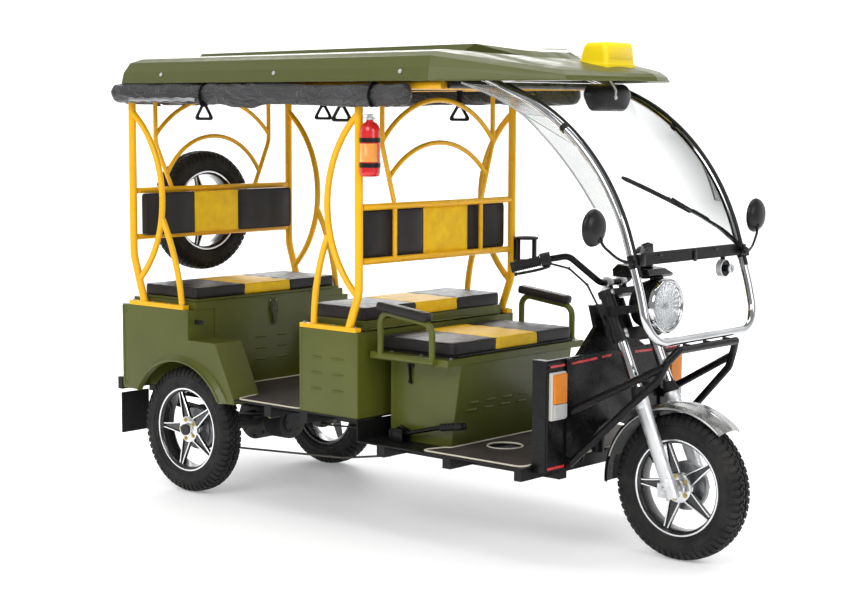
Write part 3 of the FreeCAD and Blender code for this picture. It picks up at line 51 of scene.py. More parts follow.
# ------------------------------------------------------------------ materials
class Look:
    """A principled material whose maps are worked out from object coordinates."""

    def __init__(self, name, base, rough=0.5, metal=0.0, **fixed):
        self.m = bpy.data.materials.new(name)
        self.m.use_nodes = True
        self.nt = self.m.node_tree
        self.b = next(n for n in self.nt.nodes if n.type == "BSDF_PRINCIPLED")
        self.b.inputs["Base Color"].default_value = (*base, 1)
        self.b.inputs["Roughness"].default_value = rough
        self.b.inputs["Metallic"].default_value = metal
        for k, v in fixed.items():
            self.b.inputs[k.replace("_", " ")].default_value = v
        self.tc = self.nt.nodes.new("ShaderNodeTexCoord")
        self.normal = None

    def link(self, a, b):
        self.nt.links.new(a, b)

    def put(self, kind, ins, out=0, **props):
        n = self.nt.nodes.new("ShaderNode" + kind)
        for k, v in props.items():
            setattr(n, k, v)
        for k, v in ins.items():
            s = n.inputs[k]
            if isinstance(v, bpy.types.NodeSocket):
                self.link(v, s)
            else:
                s.default_value = v
        return n.outputs[out]

    def coord(self, scale=(1, 1, 1), turn=(0, 0, 0), kind="Object"):
        return self.put("Mapping", {"Vector": self.tc.outputs[kind], "Scale": scale, "Rotation": turn})

    def noise(self, scale, detail=3.0, rough=0.55, vec=None, distort=0.0):
        return self.put("TexNoise", {"Vector": vec or self.tc.outputs["Object"], "Scale": scale, "Detail": detail,
                                     "Roughness": rough, "Distortion": distort})

    def cells(self, scale, feature="F1", vec=None):
        return self.put("TexVoronoi", {"Vector": vec or self.tc.outputs["Object"], "Scale": scale}, feature=feature)

    def wave(self, scale, vec=None, axis="X", distort=0.0, detail=0.0, profile="SIN"):
        return self.put("TexWave", {"Vector": vec or self.tc.outputs["Object"], "Scale": scale, "Distortion": distort,
                                    "Detail": detail}, bands_direction=axis, wave_profile=profile)

    def axis(self, k, kind="Object"):
        return self.put("SeparateXYZ", {"Vector": self.tc.outputs[kind]}, out=k)

    def ramp(self, fac, *stops):
        n = self.nt.nodes.new("ShaderNodeValToRGB")
        el = n.color_ramp.elements
        while len(el) < len(stops):
            el.new(0.5)
        for e, (p, c) in zip(el, stops):
            e.position = p
            e.color = (c, c, c, 1) if isinstance(c, (int, float)) else (*c, 1)
        self.link(fac, n.inputs[0])
        return n.outputs[0]

    def span(self, v, a, b, c=0.0, d=1.0):
        return self.put("MapRange", {"Value": v, "From Min": a, "From Max": b, "To Min": c, "To Max": d})

    def mix(self, fac, a, b, mode="MIX"):
        n = self.nt.nodes.new("ShaderNodeMix")
        n.data_type, n.blend_type = "RGBA", mode
        for s, v in ((n.inputs[0], fac), (n.inputs[6], a), (n.inputs[7], b)):
            if isinstance(v, bpy.types.NodeSocket):
                self.link(v, s)
            elif isinstance(v, tuple):
                s.default_value = (*v, 1)
            else:
                s.default_value = v
        return n.outputs[2]

    def calc(self, op, a, b=0.0):
        n = self.nt.nodes.new("ShaderNodeMath")
        n.operation = op
        for s, v in ((n.inputs[0], a), (n.inputs[1], b)):
            if isinstance(v, bpy.types.NodeSocket):
                self.link(v, s)
            else:
                s.default_value = v
        return n.outputs[0]

    def colour(self, sock):
        self.link(sock, self.b.inputs["Base Color"])
        return self

    def rough(self, sock):
        self.link(sock, self.b.inputs["Roughness"])
        return self

    def bump(self, height, strength=0.3, distance=0.001):
        ins = {"Height": height, "Strength": strength, "Distance": distance}
        if self.normal is not None:
            ins["Normal"] = self.normal
        self.normal = self.put("Bump", ins)
        self.link(self.normal, self.b.inputs["Normal"])
        return self


def between(L, sock, a, b, soft=0.0008):
    """1 where sock lies between a and b."""
    lo = L.span(sock, a - soft, a + soft)
    hi = L.span(sock, b - soft, b + soft, 1.0, 0.0)
    return L.calc("MULTIPLY", lo, hi)


def dusty(L, base, dust, amount=0.35, top=0.35, scale=5.0):
    """Base colour with a little road dust low down and in cloudy patches."""
    low = L.span(L.axis(2), top, 0.05)
    cloud = L.ramp(L.noise(scale, 5.0), (0.42, 0.0), (0.72, 1.0))
    f = L.calc("MULTIPLY", L.calc("MULTIPLY", low, cloud), amount)
    return L.mix(f, base, dust)


def paint(name, c, rough=0.3, coat=0.35, vary=0.12, peel=0.04, dust=(0.19, 0.17, 0.13), dust_amount=0.35, spec=0.4):
    L = Look(name, c, rough, 0.0, Coat_Weight=coat, Coat_Roughness=0.12, Specular_IOR_Level=spec)
    dark = tuple(k * (1 - vary) for k in c)
    light = tuple(min(1, k * (1 + vary)) for k in c)
    col = L.mix(L.ramp(L.noise(3.2, 3.0), (0.3, 0.0), (0.7, 1.0)), dark, light)
    L.colour(dusty(L, col, dust, dust_amount))
    L.rough(L.span(L.noise(26, 4.0), 0.3, 0.7, rough - 0.06, rough + 0.1))
    L.bump(L.noise(420, 2.0), peel, 0.0006)
    L.bump(L.noise(9, 2.0), 0.03, 0.004)
    return L


def plastic(name, c, rough=0.5, grain=900, depth=0.12, vary=0.15, **fixed):
    L = Look(name, c, rough, 0.0, Specular_IOR_Level=0.24, **fixed)
    L.colour(L.mix(L.noise(14, 4.0), tuple(k * (1 - vary) for k in c), tuple(min(1, k * (1 + vary) + 0.002) for k in c)))
    L.rough(L.span(L.noise(60, 3.0), 0.3, 0.7, rough - 0.07, rough + 0.08))
    L.bump(L.noise(grain, 2.0), depth, 0.0006)
    return L


def metal(name, c, rough=0.2, brushed=0.0, spots=0.08):
    L = Look(name, c, rough, 1.0)
    L.colour(L.mix(L.ramp(L.noise(7, 5.0), (0.35, 0.0), (0.75, 1.0)), c, tuple(k * (1 - spots) for k in c)))
    L.rough(L.span(L.noise(38, 5.0), 0.3, 0.75, rough * 0.7, rough * 1.5))
    L.bump(L.noise(600, 2.0), 0.02, 0.0004)
    if brushed:
        L.bump(L.noise(240, 2.0, vec=L.coord((1, 14, 1))), brushed, 0.0005)
    return L


def grain(L, size=620, strength=0.22):
    """Fine leather grain: shallow cells with creases between."""
    L.bump(L.ramp(L.cells(size, "DISTANCE_TO_EDGE"), (0.0, 0.0), (0.12, 1.0)), strength, 0.0005)
    L.bump(L.noise(size * 1.7, 3.0), strength * 0.5, 0.0003)
    L.bump(L.noise(22, 3.0), 0.10, 0.004)


GREEN = (0.086, 0.097, 0.012)
green = paint("green_enamel", GREEN, 0.34, 0.12, spec=0.3, dust_amount=0.2)
green_roof = paint("green_moulded_roof", (0.088, 0.097, 0.026), 0.36, 0.05, vary=0.04, peel=0.02, dust_amount=0.1, spec=0.30)
# shallow ribs run along the sloping front part of the top
_ribs = green_roof.calc("SINE", green_roof.calc("MULTIPLY", green_roof.axis(1), 62.0))
_ribs = green_roof.calc("MULTIPLY", _ribs, green_roof.calc("MULTIPLY", green_roof.span(green_roof.axis(0), 0.20, 0.42), green_roof.calc("MULTIPLY", green_roof.span(green_roof.axis(0), 0.74, 0.62), green_roof.span(green_roof.calc("ABSOLUTE", green_roof.axis(1)), 0.36, 0.33))))
green_roof.bump(_ribs, 0.8, 0.006)
yellow = paint("yellow_enamel", (0.90, 0.47, 0.004), 0.30, 0.15, vary=0.06, dust_amount=0.15, spec=0.3)
yellow_rails = paint("yellow_enamel_rails", (0.90, 0.47, 0.004), 0.30, 0.15, vary=0.06, dust_amount=0.15, spec=0.3)
# the rails are black under the front of the roof, ahead of the front posts
_ahead = yellow_rails.span(yellow_rails.axis(0), 0.405, 0.415)
yellow_rails.colour(yellow_rails.mix(_ahead, yellow_rails.mix(yellow_rails.noise(3.2, 3.0), (0.85, 0.43, 0.003), (0.95, 0.50, 0.005)), (0.010, 0.010, 0.0105)))
black = paint("black_enamel", (0.0045, 0.0045, 0.0047), 0.24, 0.06, spec=0.18, vary=0.1, dust=(0.03, 0.027, 0.023), dust_amount=0.3)
frame_black = paint("black_chassis_paint", (0.007, 0.007, 0.0073), 0.38, 0.02, spec=0.22, vary=0.25, peel=0.12, dust=(0.12, 0.105, 0.085), dust_amount=0.5)
red = paint("red_enamel", (0.62, 0.012, 0.014), 0.24, 0.5, vary=0.06)
chrome = metal("chrome", (0.62, 0.63, 0.64), 0.09, 0.0, 0.25)
silver = metal("silver_alloy", (0.74, 0.75, 0.76), 0.50, 0.05, 0.10)
guard_metal = metal("stainless_guard", (0.50, 0.51, 0.51), 0.24, 0.12, 0.35)
_low = guard_metal.calc("MULTIPLY", guard_metal.span(guard_metal.axis(0), 0.955, 0.945), guard_metal.span(guard_metal.axis(2), 0.450, 0.440))
guard_metal.colour(guard_metal.mix(_low, guard_metal.mix(guard_metal.ramp(guard_metal.noise(9, 5.0, vec=guard_metal.coord((1, 4, 1))), (0.35, 0.0), (0.7, 1.0)), (0.56, 0.57, 0.56), (0.24, 0.24, 0.23)), (0.008, 0.008, 0.008)))
reflector = metal("lamp_reflector", (0.93, 0.94, 0.95), 0.07, 0.0, 0.05)
steel = metal("zinc_steel", (0.55, 0.55, 0.54), 0.36, 0.08, 0.25)
cast = paint("cast_iron_painted", (0.022, 0.022, 0.022), 0.6, 0.0, vary=0.3, peel=0.35, dust=(0.16, 0.135, 0.10), dust_amount=0.7)
rubber = plastic("black_rubber", (0.010, 0.010, 0.010), 0.6, 700, 0.25)
dark_plastic = plastic("black_plastic", (0.009, 0.009, 0.0095), 0.34, 900, 0.15)
yellow_plastic = plastic("yellow_moulding", (0.98, 0.72, 0.004), 0.34, 1200, 0.04, 0.05, Coat_Weight=0.1)
white_label = plastic("pale_label", (0.75, 0.74, 0.70), 0.45, 1200, 0.04, 0.04)

# tyre rubber: dark, with slightly lighter dusty patches at random
tyre = Look("tyre_rubber", (0.012, 0.012, 0.013), 0.62, 0.0, Specular_IOR_Level=0.28)
tyre.colour(tyre.mix(tyre.ramp(tyre.noise(11, 5.0), (0.4, 0.0), (0.75, 1.0)), (0.009, 0.009, 0.0095), (0.024, 0.023, 0.021)))
tyre.rough(tyre.span(tyre.noise(30, 4.0), 0.3, 0.7, 0.52, 0.75))
tyre.bump(tyre.noise(500, 3.0), 0.18, 0.0006)

# machined spoke faces on black: told apart by which way the surface looks
rim = Look("rim_black_and_machined", (0.03, 0.03, 0.032), 0.3, 1.0)


def vinyl(name, c, rough=0.4):
    L = Look(name, c, rough, 0.0, Specular_IOR_Level=0.24, Sheen_Weight=0.01, Sheen_Roughness=0.5)
    L.colour(L.mix(L.ramp(L.noise(16, 4.0), (0.3, 0.0), (0.75, 1.0)), tuple(k * 0.86 for k in c), tuple(min(1, k * 1.18) for k in c)))
    L.rough(L.span(L.noise(45, 4.0), 0.3, 0.7, rough - 0.06, rough + 0.09))
    grain(L)
    return L


black_vinyl = vinyl("black_grained_vinyl", (0.018, 0.016, 0.016), 0.36)
yellow_vinyl = vinyl("yellow_grained_vinyl", (0.98, 0.56, 0.004), 0.45)
thread = plastic("seam_welt", (0.022, 0.02, 0.02), 0.5, 1500, 0.2)

curtain = Look("coated_curtain_cloth", (0.034, 0.034, 0.037), 0.42, 0.0, Specular_IOR_Level=0.5, Sheen_Weight=0.15, Sheen_Roughness=0.4)
curtain.colour(curtain.mix(curtain.ramp(curtain.noise(9, 5.0, vec=curtain.coord((0.5, 1, 2))), (0.3, 0.0), (0.7, 1.0)), (0.014, 0.014, 0.015), (0.044, 0.044, 0.047)))
curtain.bump(curtain.noise(16, 5.0, 0.6, curtain.coord((0.35, 1.2, 2.0)), 0.6), 0.9, 0.018)
_crease = curtain.ramp(curtain.noise(11, 3.0, 0.5, curtain.coord((0.6, 1.0, 1.6)), 1.4), (0.455, 0.0), (0.50, 1.0), (0.545, 0.0))
curtain.bump(_crease, 0.8, 0.006)
curtain.bump(curtain.wave(520, axis="DIAGONAL"), 0.06, 0.0003)
curtain.rough(curtain.span(curtain.noise(14, 4.0), 0.3, 0.7, 0.34, 0.55))

mat_rubber = Look("floor_mat_rubber", (0.035, 0.028, 0.024), 0.75, 0.0, Specular_IOR_Level=0.3)
mat_rubber.colour(dusty(mat_rubber, mat_rubber.mix(mat_rubber.noise(18, 5.0), (0.022, 0.018, 0.016), (0.055, 0.044, 0.037)), (0.16, 0.13, 0.10), 0.35, 0.9, 8))
mat_rubber.bump(mat_rubber.cells(240), 0.35, 0.0012)
mat_rubber.bump(mat_rubber.noise(700, 2.0), 0.2, 0.0005)
piping = plastic("cream_piping", (0.62, 0.58, 0.47), 0.5, 900, 0.15, 0.08)

glass = Look("clear_screen", (0.985, 0.995, 0.99), 0.015, 0.0, Transmission_Weight=1.0, IOR=1.12)
glass.rough(glass.span(glass.noise(3, 4.0), 0.4, 0.7, 0.0, 0.03))
# painted reflection: the sheet is darkened towards its left edge, at the middle of its height, standing in for a dark
# reflection in the curved glass
painted_reflection_mask = glass.calc("MULTIPLY", glass.span(glass.axis(1), 0.02, 0.33), glass.calc("MULTIPLY", glass.span(glass.axis(2), 1.00, 1.20), glass.span(glass.axis(2), 1.60, 1.42)))
glass.colour(glass.mix(painted_reflection_mask, (0.985, 0.995, 0.99), (0.26, 0.27, 0.27)))
smoked = Look("smoked_sheet", (0.80, 0.81, 0.80), 0.12, 0.0, Transmission_Weight=0.85, IOR=1.2)
smoked.colour(smoked.mix(smoked.noise(5, 3.0), (0.62, 0.64, 0.63), (0.86, 0.87, 0.86)))
smoked.bump(smoked.noise(7, 3.0), 0.12, 0.01)
lens = Look("headlight_glass", (0.97, 0.98, 0.99), 0.03, 0.0, Transmission_Weight=0.92, IOR=1.35)
lens.bump(lens.wave(34, axis="Y"), 0.35, 0.003)
lens.rough(lens.span(lens.noise(12, 3.0), 0.3, 0.7, 0.02, 0.06))


def lamp(name, c):
    L = Look(name, c, 0.14, 0.0, Transmission_Weight=0.15, Coat_Weight=0.15, IOR=1.3)
    L.colour(L.mix(L.noise(40, 2.0), tuple(k * 0.8 for k in c), c))
    L.bump(L.wave(95, axis="Z"), 0.5, 0.0015)
    L.bump(L.wave(95, axis="Y"), 0.35, 0.0015)
    return L


orange_lens = lamp("orange_lens", (0.86, 0.25, 0.003))
white_lens = lamp("white_lens", (0.55, 0.56, 0.55))
red_lens = lamp("red_lens", (0.62, 0.012, 0.012))
mirror_glass = Look("mirror_glass", (0.9, 0.91, 0.92), 0.02, 1.0)
mirror_glass.rough(mirror_glass.span(mirror_glass.noise(9, 4.0), 0.4, 0.8, 0.01, 0.05))
reflect_red = Look("red_reflective_tape", (0.75, 0.015, 0.02), 0.3, 0.0, Coat_Weight=0.5)
reflect_red.colour(reflect_red.mix(reflect_red.ramp(reflect_red.cells(260), (0.2, 0.0), (0.5, 1.0)), (0.85, 0.03, 0.03), (0.45, 0.004, 0.008)))
reflect_red.bump(reflect_red.cells(260), 0.3, 0.0006)

# wheels: the axis runs through the wheel's own centre, so the radius is worked out from a centre
def rim_look(name, centre, spin_axis):
    L = Look(name, (0.03, 0.03, 0.032), 0.28, 1.0)
    sep = L.put("SeparateXYZ", {"Vector": L.tc.outputs["Normal"]}, out=spin_axis)
    facing = L.ramp(L.calc("ABSOLUTE", sep), (0.90, 0.0), (0.97, 1.0))
    away = L.put("VectorMath", {0: L.tc.outputs["Object"], 1: tuple(-k for k in centre)}, operation="ADD")
    flat = L.put("VectorMath", {0: away, 1: tuple(0.0 if k == spin_axis else 1.0 for k in range(3))}, operation="MULTIPLY")
    r = L.put("VectorMath", {0: flat}, out="Value", operation="LENGTH")
    spokes = L.calc("MULTIPLY", facing, between(L, r, 0.040, 0.151, 0.0006))
    lip = L.calc("MULTIPLY", facing, between(L, r, 0.1595, 0.170, 0.0004))
    bright = L.calc("MAXIMUM", spokes, lip)
    L.colour(L.mix(bright, (0.022, 0.022, 0.024), (0.72, 0.73, 0.75)))
    L.rough(L.put("Mix", {"Factor": bright, 2: 0.34, 3: 0.22}))
    rings = L.put("MapRange", {"Value": L.put("Math", {0: L.calc("MULTIPLY", r, 9000.0)}, operation="SINE"), "From Min": -1.0, "From Max": 1.0})
    L.bump(L.calc("MULTIPLY", rings, bright), 0.05, 0.0003)
    return L


# ------------------------------------------------------------------ paint the frame's own nodes
def dress(look, *names):
    for n in names:
        o = NODES[n]
        o.data.materials.clear()
        o.data.materials.append(look.m)


def centre_of(name):
    a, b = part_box(name)
    return tuple((a + b) / 2)


dress(green, "rear_body_sides", "rear_panel", "rear_seat_box", "mid_box", "driver_box", "driver_seat_frame", "rear_seat_lid", "mid_seat_lid")
dress(frame_black, "chassis_rails", "chassis_cross_members", "fork_yokes", "leaf_springs", "rear_bumper", "grab_rails")
dress(frame_black, "floor_pans", "steering_column")
dress(black, "crash_guard", "leg_shield", "windscreen_bar", "headlight", "hand_brake")
dress(yellow, "side_frames", "arch_frames")
dress(yellow_rails, "roof_rails")
dress(green_roof, "roof_panel")
dress(yellow_plastic, "roof_sign")
dress(chrome, "windscreen_hoop")
dress(guard_metal, "front_mudguard")
dress(black, "handlebar")
dress(silver, "fork_legs")
dress(cast, "rear_axle")
dress(dark_plastic, "driver_seat_lid", "battery_pack", "mirrors", "bottle_holder", "hand_controls", "armrest_pads")
dress(rubber, "control_cables", "rear_mudflaps")
dress(glass, "windscreen")
dress(smoked, "side_deflectors")
dress(lens, "headlight_lens")
dress(red, "extinguisher")
dress(orange_lens, "marker_lamps")
dress(curtain, "curtain_rolls")
dress(black_vinyl, "rear_cushion", "mid_cushion", "driver_cushion", "backrests")
dress(tyre, "rear_left_tyre", "rear_right_tyre", "front_tyre", "spare_tyre")
WHEELS = (
    # name, centre, axis of turning, side that faces out, body
    ("rear_left", (-0.94, 0.385, 0.25), 1, 1, "rear_left_wheel"),
    ("rear_right", (-0.94, -0.385, 0.25), 1, -1, "rear_right_wheel"),
    ("front", (1.11, 0.0, 0.25), 1, -1, "front_wheel"),
    ("spare", (-1.3125, 0.0, 1.087), 0, 1, "chassis"),
)
for name, c, ax, out, body in WHEELS:
    dress(rim_look(name + "_rim_finish", c, ax), name + "_rim")


# ------------------------------------------------------------------ mesh helpers, all in the row frame
def make(name, verts, faces, look, body, slot=None, smooth=True, angle=35, looks=None, index=None):
    me = bpy.data.meshes.new(name)
    me.from_pydata([tuple(v) for v in verts], [], [tuple(f) for f in faces])
    me.validate()
    for k in (looks or [look]):
        me.materials.append(k.m)
    if index is not None:
        for p, i in zip(me.polygons, index):
            p.material_index = i
    o = bpy.data.objects.new(name, me)
    COLL.objects.link(o)
    if smooth:
        me.shade_smooth()
        if angle:
            me.set_sharp_from_angle(angle=math.radians(angle))
    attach(o, body)
    return o


class Soup:
    """Several closed shells gathered into one mesh."""

    def __init__(self):
        self.v, self.f, self.i = [], [], []

    def add(self, verts, faces, index=0):
        n = len(self.v)
        self.v += [Vector(p) for p in verts]
        self.f += [[k + n for k in f] for f in faces]
        self.i += [index] * len(faces)
        return self

    def mirrored(self, axis=1):
        n = len(self.v)
        for p in list(self.v):
            q = p.copy()
            q[axis] = -q[axis]
            self.v.append(q)
        m = len(self.f)
        for f, i in zip(list(self.f[:m]), list(self.i[:m])):
            self.f.append([k + n for k in reversed(f)])
            self.i.append(i)
        return self

    def object(self, name, look, body, slot=None, **kw):
        looks = kw.pop("looks", None)
        return make(name, self.v, self.f, look, body, slot, looks=looks, index=self.i if looks else None, **kw)


def frames_along(pts, closed=False):
    """Tangent and two square directions at each point, turned as little as may be from one to the next."""
    n = len(pts)
    tans = []
    for i in range(n):
        a = pts[(i - 1) % n] if (closed or i > 0) else pts[0]
        b = pts[(i + 1) % n] if (closed or i < n - 1) else pts[-1]
        tans.append((b - a).normalized())
    up = Vector((0, 0, 1)) if abs(tans[0].z) < 0.9 else Vector((1, 0, 0))
    u = (up - tans[0] * up.dot(tans[0])).normalized()
    out = []
    for t in tans:
        u = (u - t * u.dot(t)).normalized()
        out.append((t, u, t.cross(u)))
    return out


def sweep(pts, r, n=12, closed=False, shape=None, taper=None):
    """A tube (or a bar of the outline shape) along the points."""
    pts = [Vector(p) for p in pts]
    fr = frames_along(pts, closed)
    ring = shape or [(math.cos(2 * math.pi * k / n), math.sin(2 * math.pi * k / n)) for k in range(n)]
    n = len(ring)
    verts, faces = [], []
    for i, (p, (t, u, w)) in enumerate(zip(pts, fr)):
        s = r * (taper[i] if taper else 1.0)
        verts += [p + u * (a * s) + w * (b * s) for a, b in ring]
    m = len(pts)
    for i in range(m if closed else m - 1):
        j = (i + 1) % m
        for k in range(n):
            q = (k + 1) % n
            faces.append((i * n + k, i * n + q, j * n + q, j * n + k))
    if not closed:
        faces.append(tuple(reversed(range(n))))
        faces.append(tuple((m - 1) * n + k for k in range(n)))
    return verts, faces


def round_path(pts, radius, steps=6):
    """Corners of a polyline replaced by short arcs."""
    pts = [Vector(p) for p in pts]
    out = [pts[0]]
    for i in range(1, len(pts) - 1):
        a, b, c = pts[i - 1], pts[i], pts[i + 1]
        r = min(radius, (a - b).length * 0.45, (c - b).length * 0.45)
        p, q = b + (a - b).normalized() * r, b + (c - b).normalized() * r
        for k in range(steps + 1):
            t = k / steps
            out.append(p * (1 - t) ** 2 + b * 2 * t * (1 - t) + q * t * t)
    out.append(pts[-1])
    return out


def loop_path(pts, radius, steps=5):
    pts = [Vector(p) for p in pts]
    out, n = [], len(pts)
    for i in range(n):
        a, b, c = pts[i - 1], pts[i], pts[(i + 1) % n]
        r = min(radius, (a - b).length * 0.45, (c - b).length * 0.45)
        p, q = b + (a - b).normalized() * r, b + (c - b).normalized() * r
        for k in range(steps + 1):
            t = k / steps
            out.append(p * (1 - t) ** 2 + b * 2 * t * (1 - t) + q * t * t)
    return out


def basis(axis):
    a = Vector(axis).normalized()
    u = Vector((0, 0, 1)) if abs(a.z) < 0.9 else Vector((1, 0, 0))
    u = (u - a * u.dot(a)).normalized()
    return a, u, a.cross(u)


def lathe(profile, centre, axis, seg=48, closed=False):
    """Turned shape: profile of (radius, height along the axis)."""
    a, u, w = basis(axis)
    c = Vector(centre)
    verts, faces = [], []
    n = len(profile)
    for k in range(seg):
        t = 2 * math.pi * k / seg
        d = u * math.cos(t) + w * math.sin(t)
        verts += [c + d * r + a * h for r, h in profile]
    for k in range(seg):
        j = (k + 1) % seg
        for i in range(n if closed else n - 1):
            m = (i + 1) % n
            faces.append((k * n + i, k * n + m, j * n + m, j * n + i))
    if not closed:
        if profile[0][0] > 1e-6:
            faces.append(tuple(k * n for k in range(seg)))
        if profile[-1][0] > 1e-6:
            faces.append(tuple(k * n + n - 1 for k in reversed(range(seg))))
    return verts, faces


def clean(o, dist=0.00002):
    bm = bmesh.new()
    bm.from_mesh(o.data)
    bmesh.ops.remove_doubles(bm, verts=bm.verts, dist=dist)
    bmesh.ops.dissolve_degenerate(bm, edges=bm.edges, dist=dist)
    bmesh.ops.recalc_face_normals(bm, faces=bm.faces)
    bm.to_mesh(o.data)
    bm.free()
    return o


def slab(lo, hi, bevel=0.002, seg=2, turn=None, at=None):
    """A box with rounded edges; turn (a Matrix) is about its middle."""
    bm = bmesh.new()
    lo, hi = Vector(lo), Vector(hi)
    c = (lo + hi) / 2
    bmesh.ops.create_cube(bm, size=1.0)
    for v in bm.verts:
        v.co = Vector((v.co[k] * (hi - lo)[k] for k in range(3)))
    if bevel > 0:
        bmesh.ops.bevel(bm, geom=list(bm.edges), offset=bevel, segments=seg, profile=0.5, affect="EDGES")
    if turn is not None:
        bmesh.ops.transform(bm, matrix=turn.to_4x4(), verts=bm.verts)
    for v in bm.verts:
        v.co += c
    bm.verts.index_update()
    out = [v.co.copy() for v in bm.verts], [[v.index for v in f.verts] for f in bm.faces]
    bm.free()
    return out


def bolt(centre, axis, r=0.006, h=0.004, washer=True):
    a, u, w = basis(axis)
    c = Vector(centre)
    s = Soup()
    if washer:
        s.add(*lathe([(0, 0), (r * 1.55, 0), (r * 1.55, h * 0.3), (0, h * 0.3)], c, a, 20))
    hexa = [(math.cos(math.pi / 3 * k + 0.3), math.sin(math.pi / 3 * k + 0.3)) for k in range(6)]
    v = []
    for z, k in ((0, 1.0), (h * 0.85, 1.0), (h, 0.86)):
        v += [c + a * z + u * (x * r * k) + w * (y * r * k) for x, y in hexa]
    f = [(i * 6 + k, i * 6 + (k + 1) % 6, i * 6 + 6 + (k + 1) % 6, i * 6 + 6 + k) for i in range(2) for k in range(6)]
    f += [tuple(12 + k for k in range(6)), tuple(reversed(range(6)))]
    return s.add(v, f)


def bolts(name, spots, body, look=None, r=0.006, h=0.004, slot=None):
    s = Soup()
    for c, a in spots:
        b = bolt(c, a, r, h)
        s.add(b.v, b.f)
    return s.object(name, look or steel, body, slot, angle=30)

# ------------------------------------------------------------------ tyres and rims
zinc = metal("yellow_zinc", (0.70, 0.58, 0.30), 0.34, 0.0, 0.25)
bright = Look("machined_face", (0.80, 0.81, 0.83), 0.22, 1.0)
bright.colour(bright.mix(bright.noise(30, 4.0), (0.74, 0.75, 0.77), (0.88, 0.89, 0.9)))
bright.rough(bright.span(bright.noise(80, 4.0), 0.3, 0.7, 0.16, 0.30))
bright.bump(bright.noise(900, 2.0), 0.05, 0.0003)
rim_black = paint("rim_black", (0.012, 0.012, 0.013), 0.24, 0.5, vary=0.2, dust=(0.12, 0.11, 0.09), dust_amount=0.25)
drum_grey = metal("cast_alloy_drum", (0.42, 0.43, 0.44), 0.45, 0.0, 0.3)
drum_grey.bump(drum_grey.noise(260, 4.0), 0.3, 0.0008)


def wheel_space(c, ax, out):
    """Point from radius, angle and height along the outward axis."""
    a = Vector([float(out) if k == ax else 0.0 for k in range(3)])
    _, u, w = basis(a)
    c = Vector(c)
    return a, lambda r, t, h: c + u * (r * math.cos(t)) + w * (r * math.sin(t)) + a * h


def tread_height(y):
    """Outer radius of the tread at a distance from the middle plane."""
    y = abs(y)
    for (y0, r0), (y1, r1) in zip(TREAD, TREAD[1:]):
        if y <= y1:
            return r0 + (r1 - r0) * (y - y0) / (y1 - y0)
    return TREAD[-1][1]


# distance from the middle plane, radius
TREAD = ((0.0, 0.2498), (0.014, 0.2494), (0.024, 0.2478), (0.034, 0.2440), (0.0415, 0.2360), (0.0455, 0.2240), (0.047, 0.212))
# tread blocks: rows by side: near edge and far edge (distance from the middle), share of the pitch that is rubber, skew, how far turned
BLOCKS = ((0.0035, 0.0125, 0.74, 0.30, 0.0), (0.0150, 0.0255, 0.70, -0.26, 0.5))
LUGS = 58


def tyre_mesh(name, c, ax, out, body, node):
    a, P = wheel_space(c, ax, out)
    s = Soup()
    side = [(0.2432, 0.0), (0.2428, 0.020), (0.2395, 0.031), (0.2320, 0.0385), (0.2210, 0.0428), (0.2130, 0.0447), (0.2115, 0.0462),
            (0.2085, 0.0464), (0.2070, 0.0452), (0.1985, 0.0462), (0.1900, 0.0458), (0.1885, 0.0470), (0.1860, 0.0470), (0.1845, 0.0452),
            (0.1780, 0.0432), (0.1765, 0.0440), (0.1745, 0.0438), (0.1730, 0.0415), (0.1690, 0.0385), (0.1655, 0.0365), (0.1620, 0.0340), (0.1600, 0.030)]
    prof = [(r, -h) for r, h in reversed(side[1:])] + side
    s.add(*lathe(prof, c, a, 112, closed=True))
    step = 2 * math.pi / LUGS
    for k in range(LUGS):
        t = k * step
        for sg in (1, -1):
            for y0, y1, share, skew, turn in BLOCKS:
                tt = t + turn * step + (0.5 * step if sg < 0 else 0)
                hw = share * step / 2
                v = []
                for y, sh in ((y0, -skew), (y1, skew)):
                    for q in (-1, 1):
                        v.append(P(0.2425, tt + q * hw * 1.08 + sh * step / 2, sg * y))
                        v.append(P(tread_height(y) - 0.0004, tt + q * hw + sh * step / 2, sg * y))
                s.add(v, [(0, 1, 5, 4), (2, 6, 7, 3), (0, 2, 3, 1), (4, 5, 7, 6), (1, 3, 7, 5)])
            # shoulder lug: wraps from the tread down the side
            tt = t + (0.5 * step if sg < 0 else 0) + 0.25 * step
            rows = ((0.0285, 0.2468), (0.0345, 0.2434), (0.0412, 0.2362), (0.0452, 0.2245), (0.0466, 0.2150))
            longer = k % 2 == 0
            use = rows if longer else rows[:4]
            v = []
            for i, (y, r) in enumerate(use):
                hw = step * (0.33 - 0.015 * i)
                dr, dy = (0.0055, 0.0) if i < 2 else (0.004, 0.004)
                for q in (-1, 1):
                    v.append(P(r - dr, tt + q * hw * 1.1, sg * (y - dy)))
                    v.append(P(r, tt + q * hw, sg * y))
            m = len(use)
            f = [(0, 2, 3, 1), (4 * m - 4, 4 * m - 3, 4 * m - 1, 4 * m - 2)]
            for i in range(m - 1):
                b = 4 * i
                f += [(b, b + 1, b + 5, b + 4), (b + 2, b + 6, b + 7, b + 3), (b + 1, b + 3, b + 7, b + 5)]
            s.add(v, f)
    o = s.object(name, tyre, body, "tyre", angle=28)
    bm = bmesh.new()
    bm.from_mesh(o.data)
    bmesh.ops.recalc_face_normals(bm, faces=bm.faces)
    bm.to_mesh(o.data)
    bm.free()
    o.data.set_sharp_from_angle(angle=math.radians(28))
    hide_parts(node)
    return o


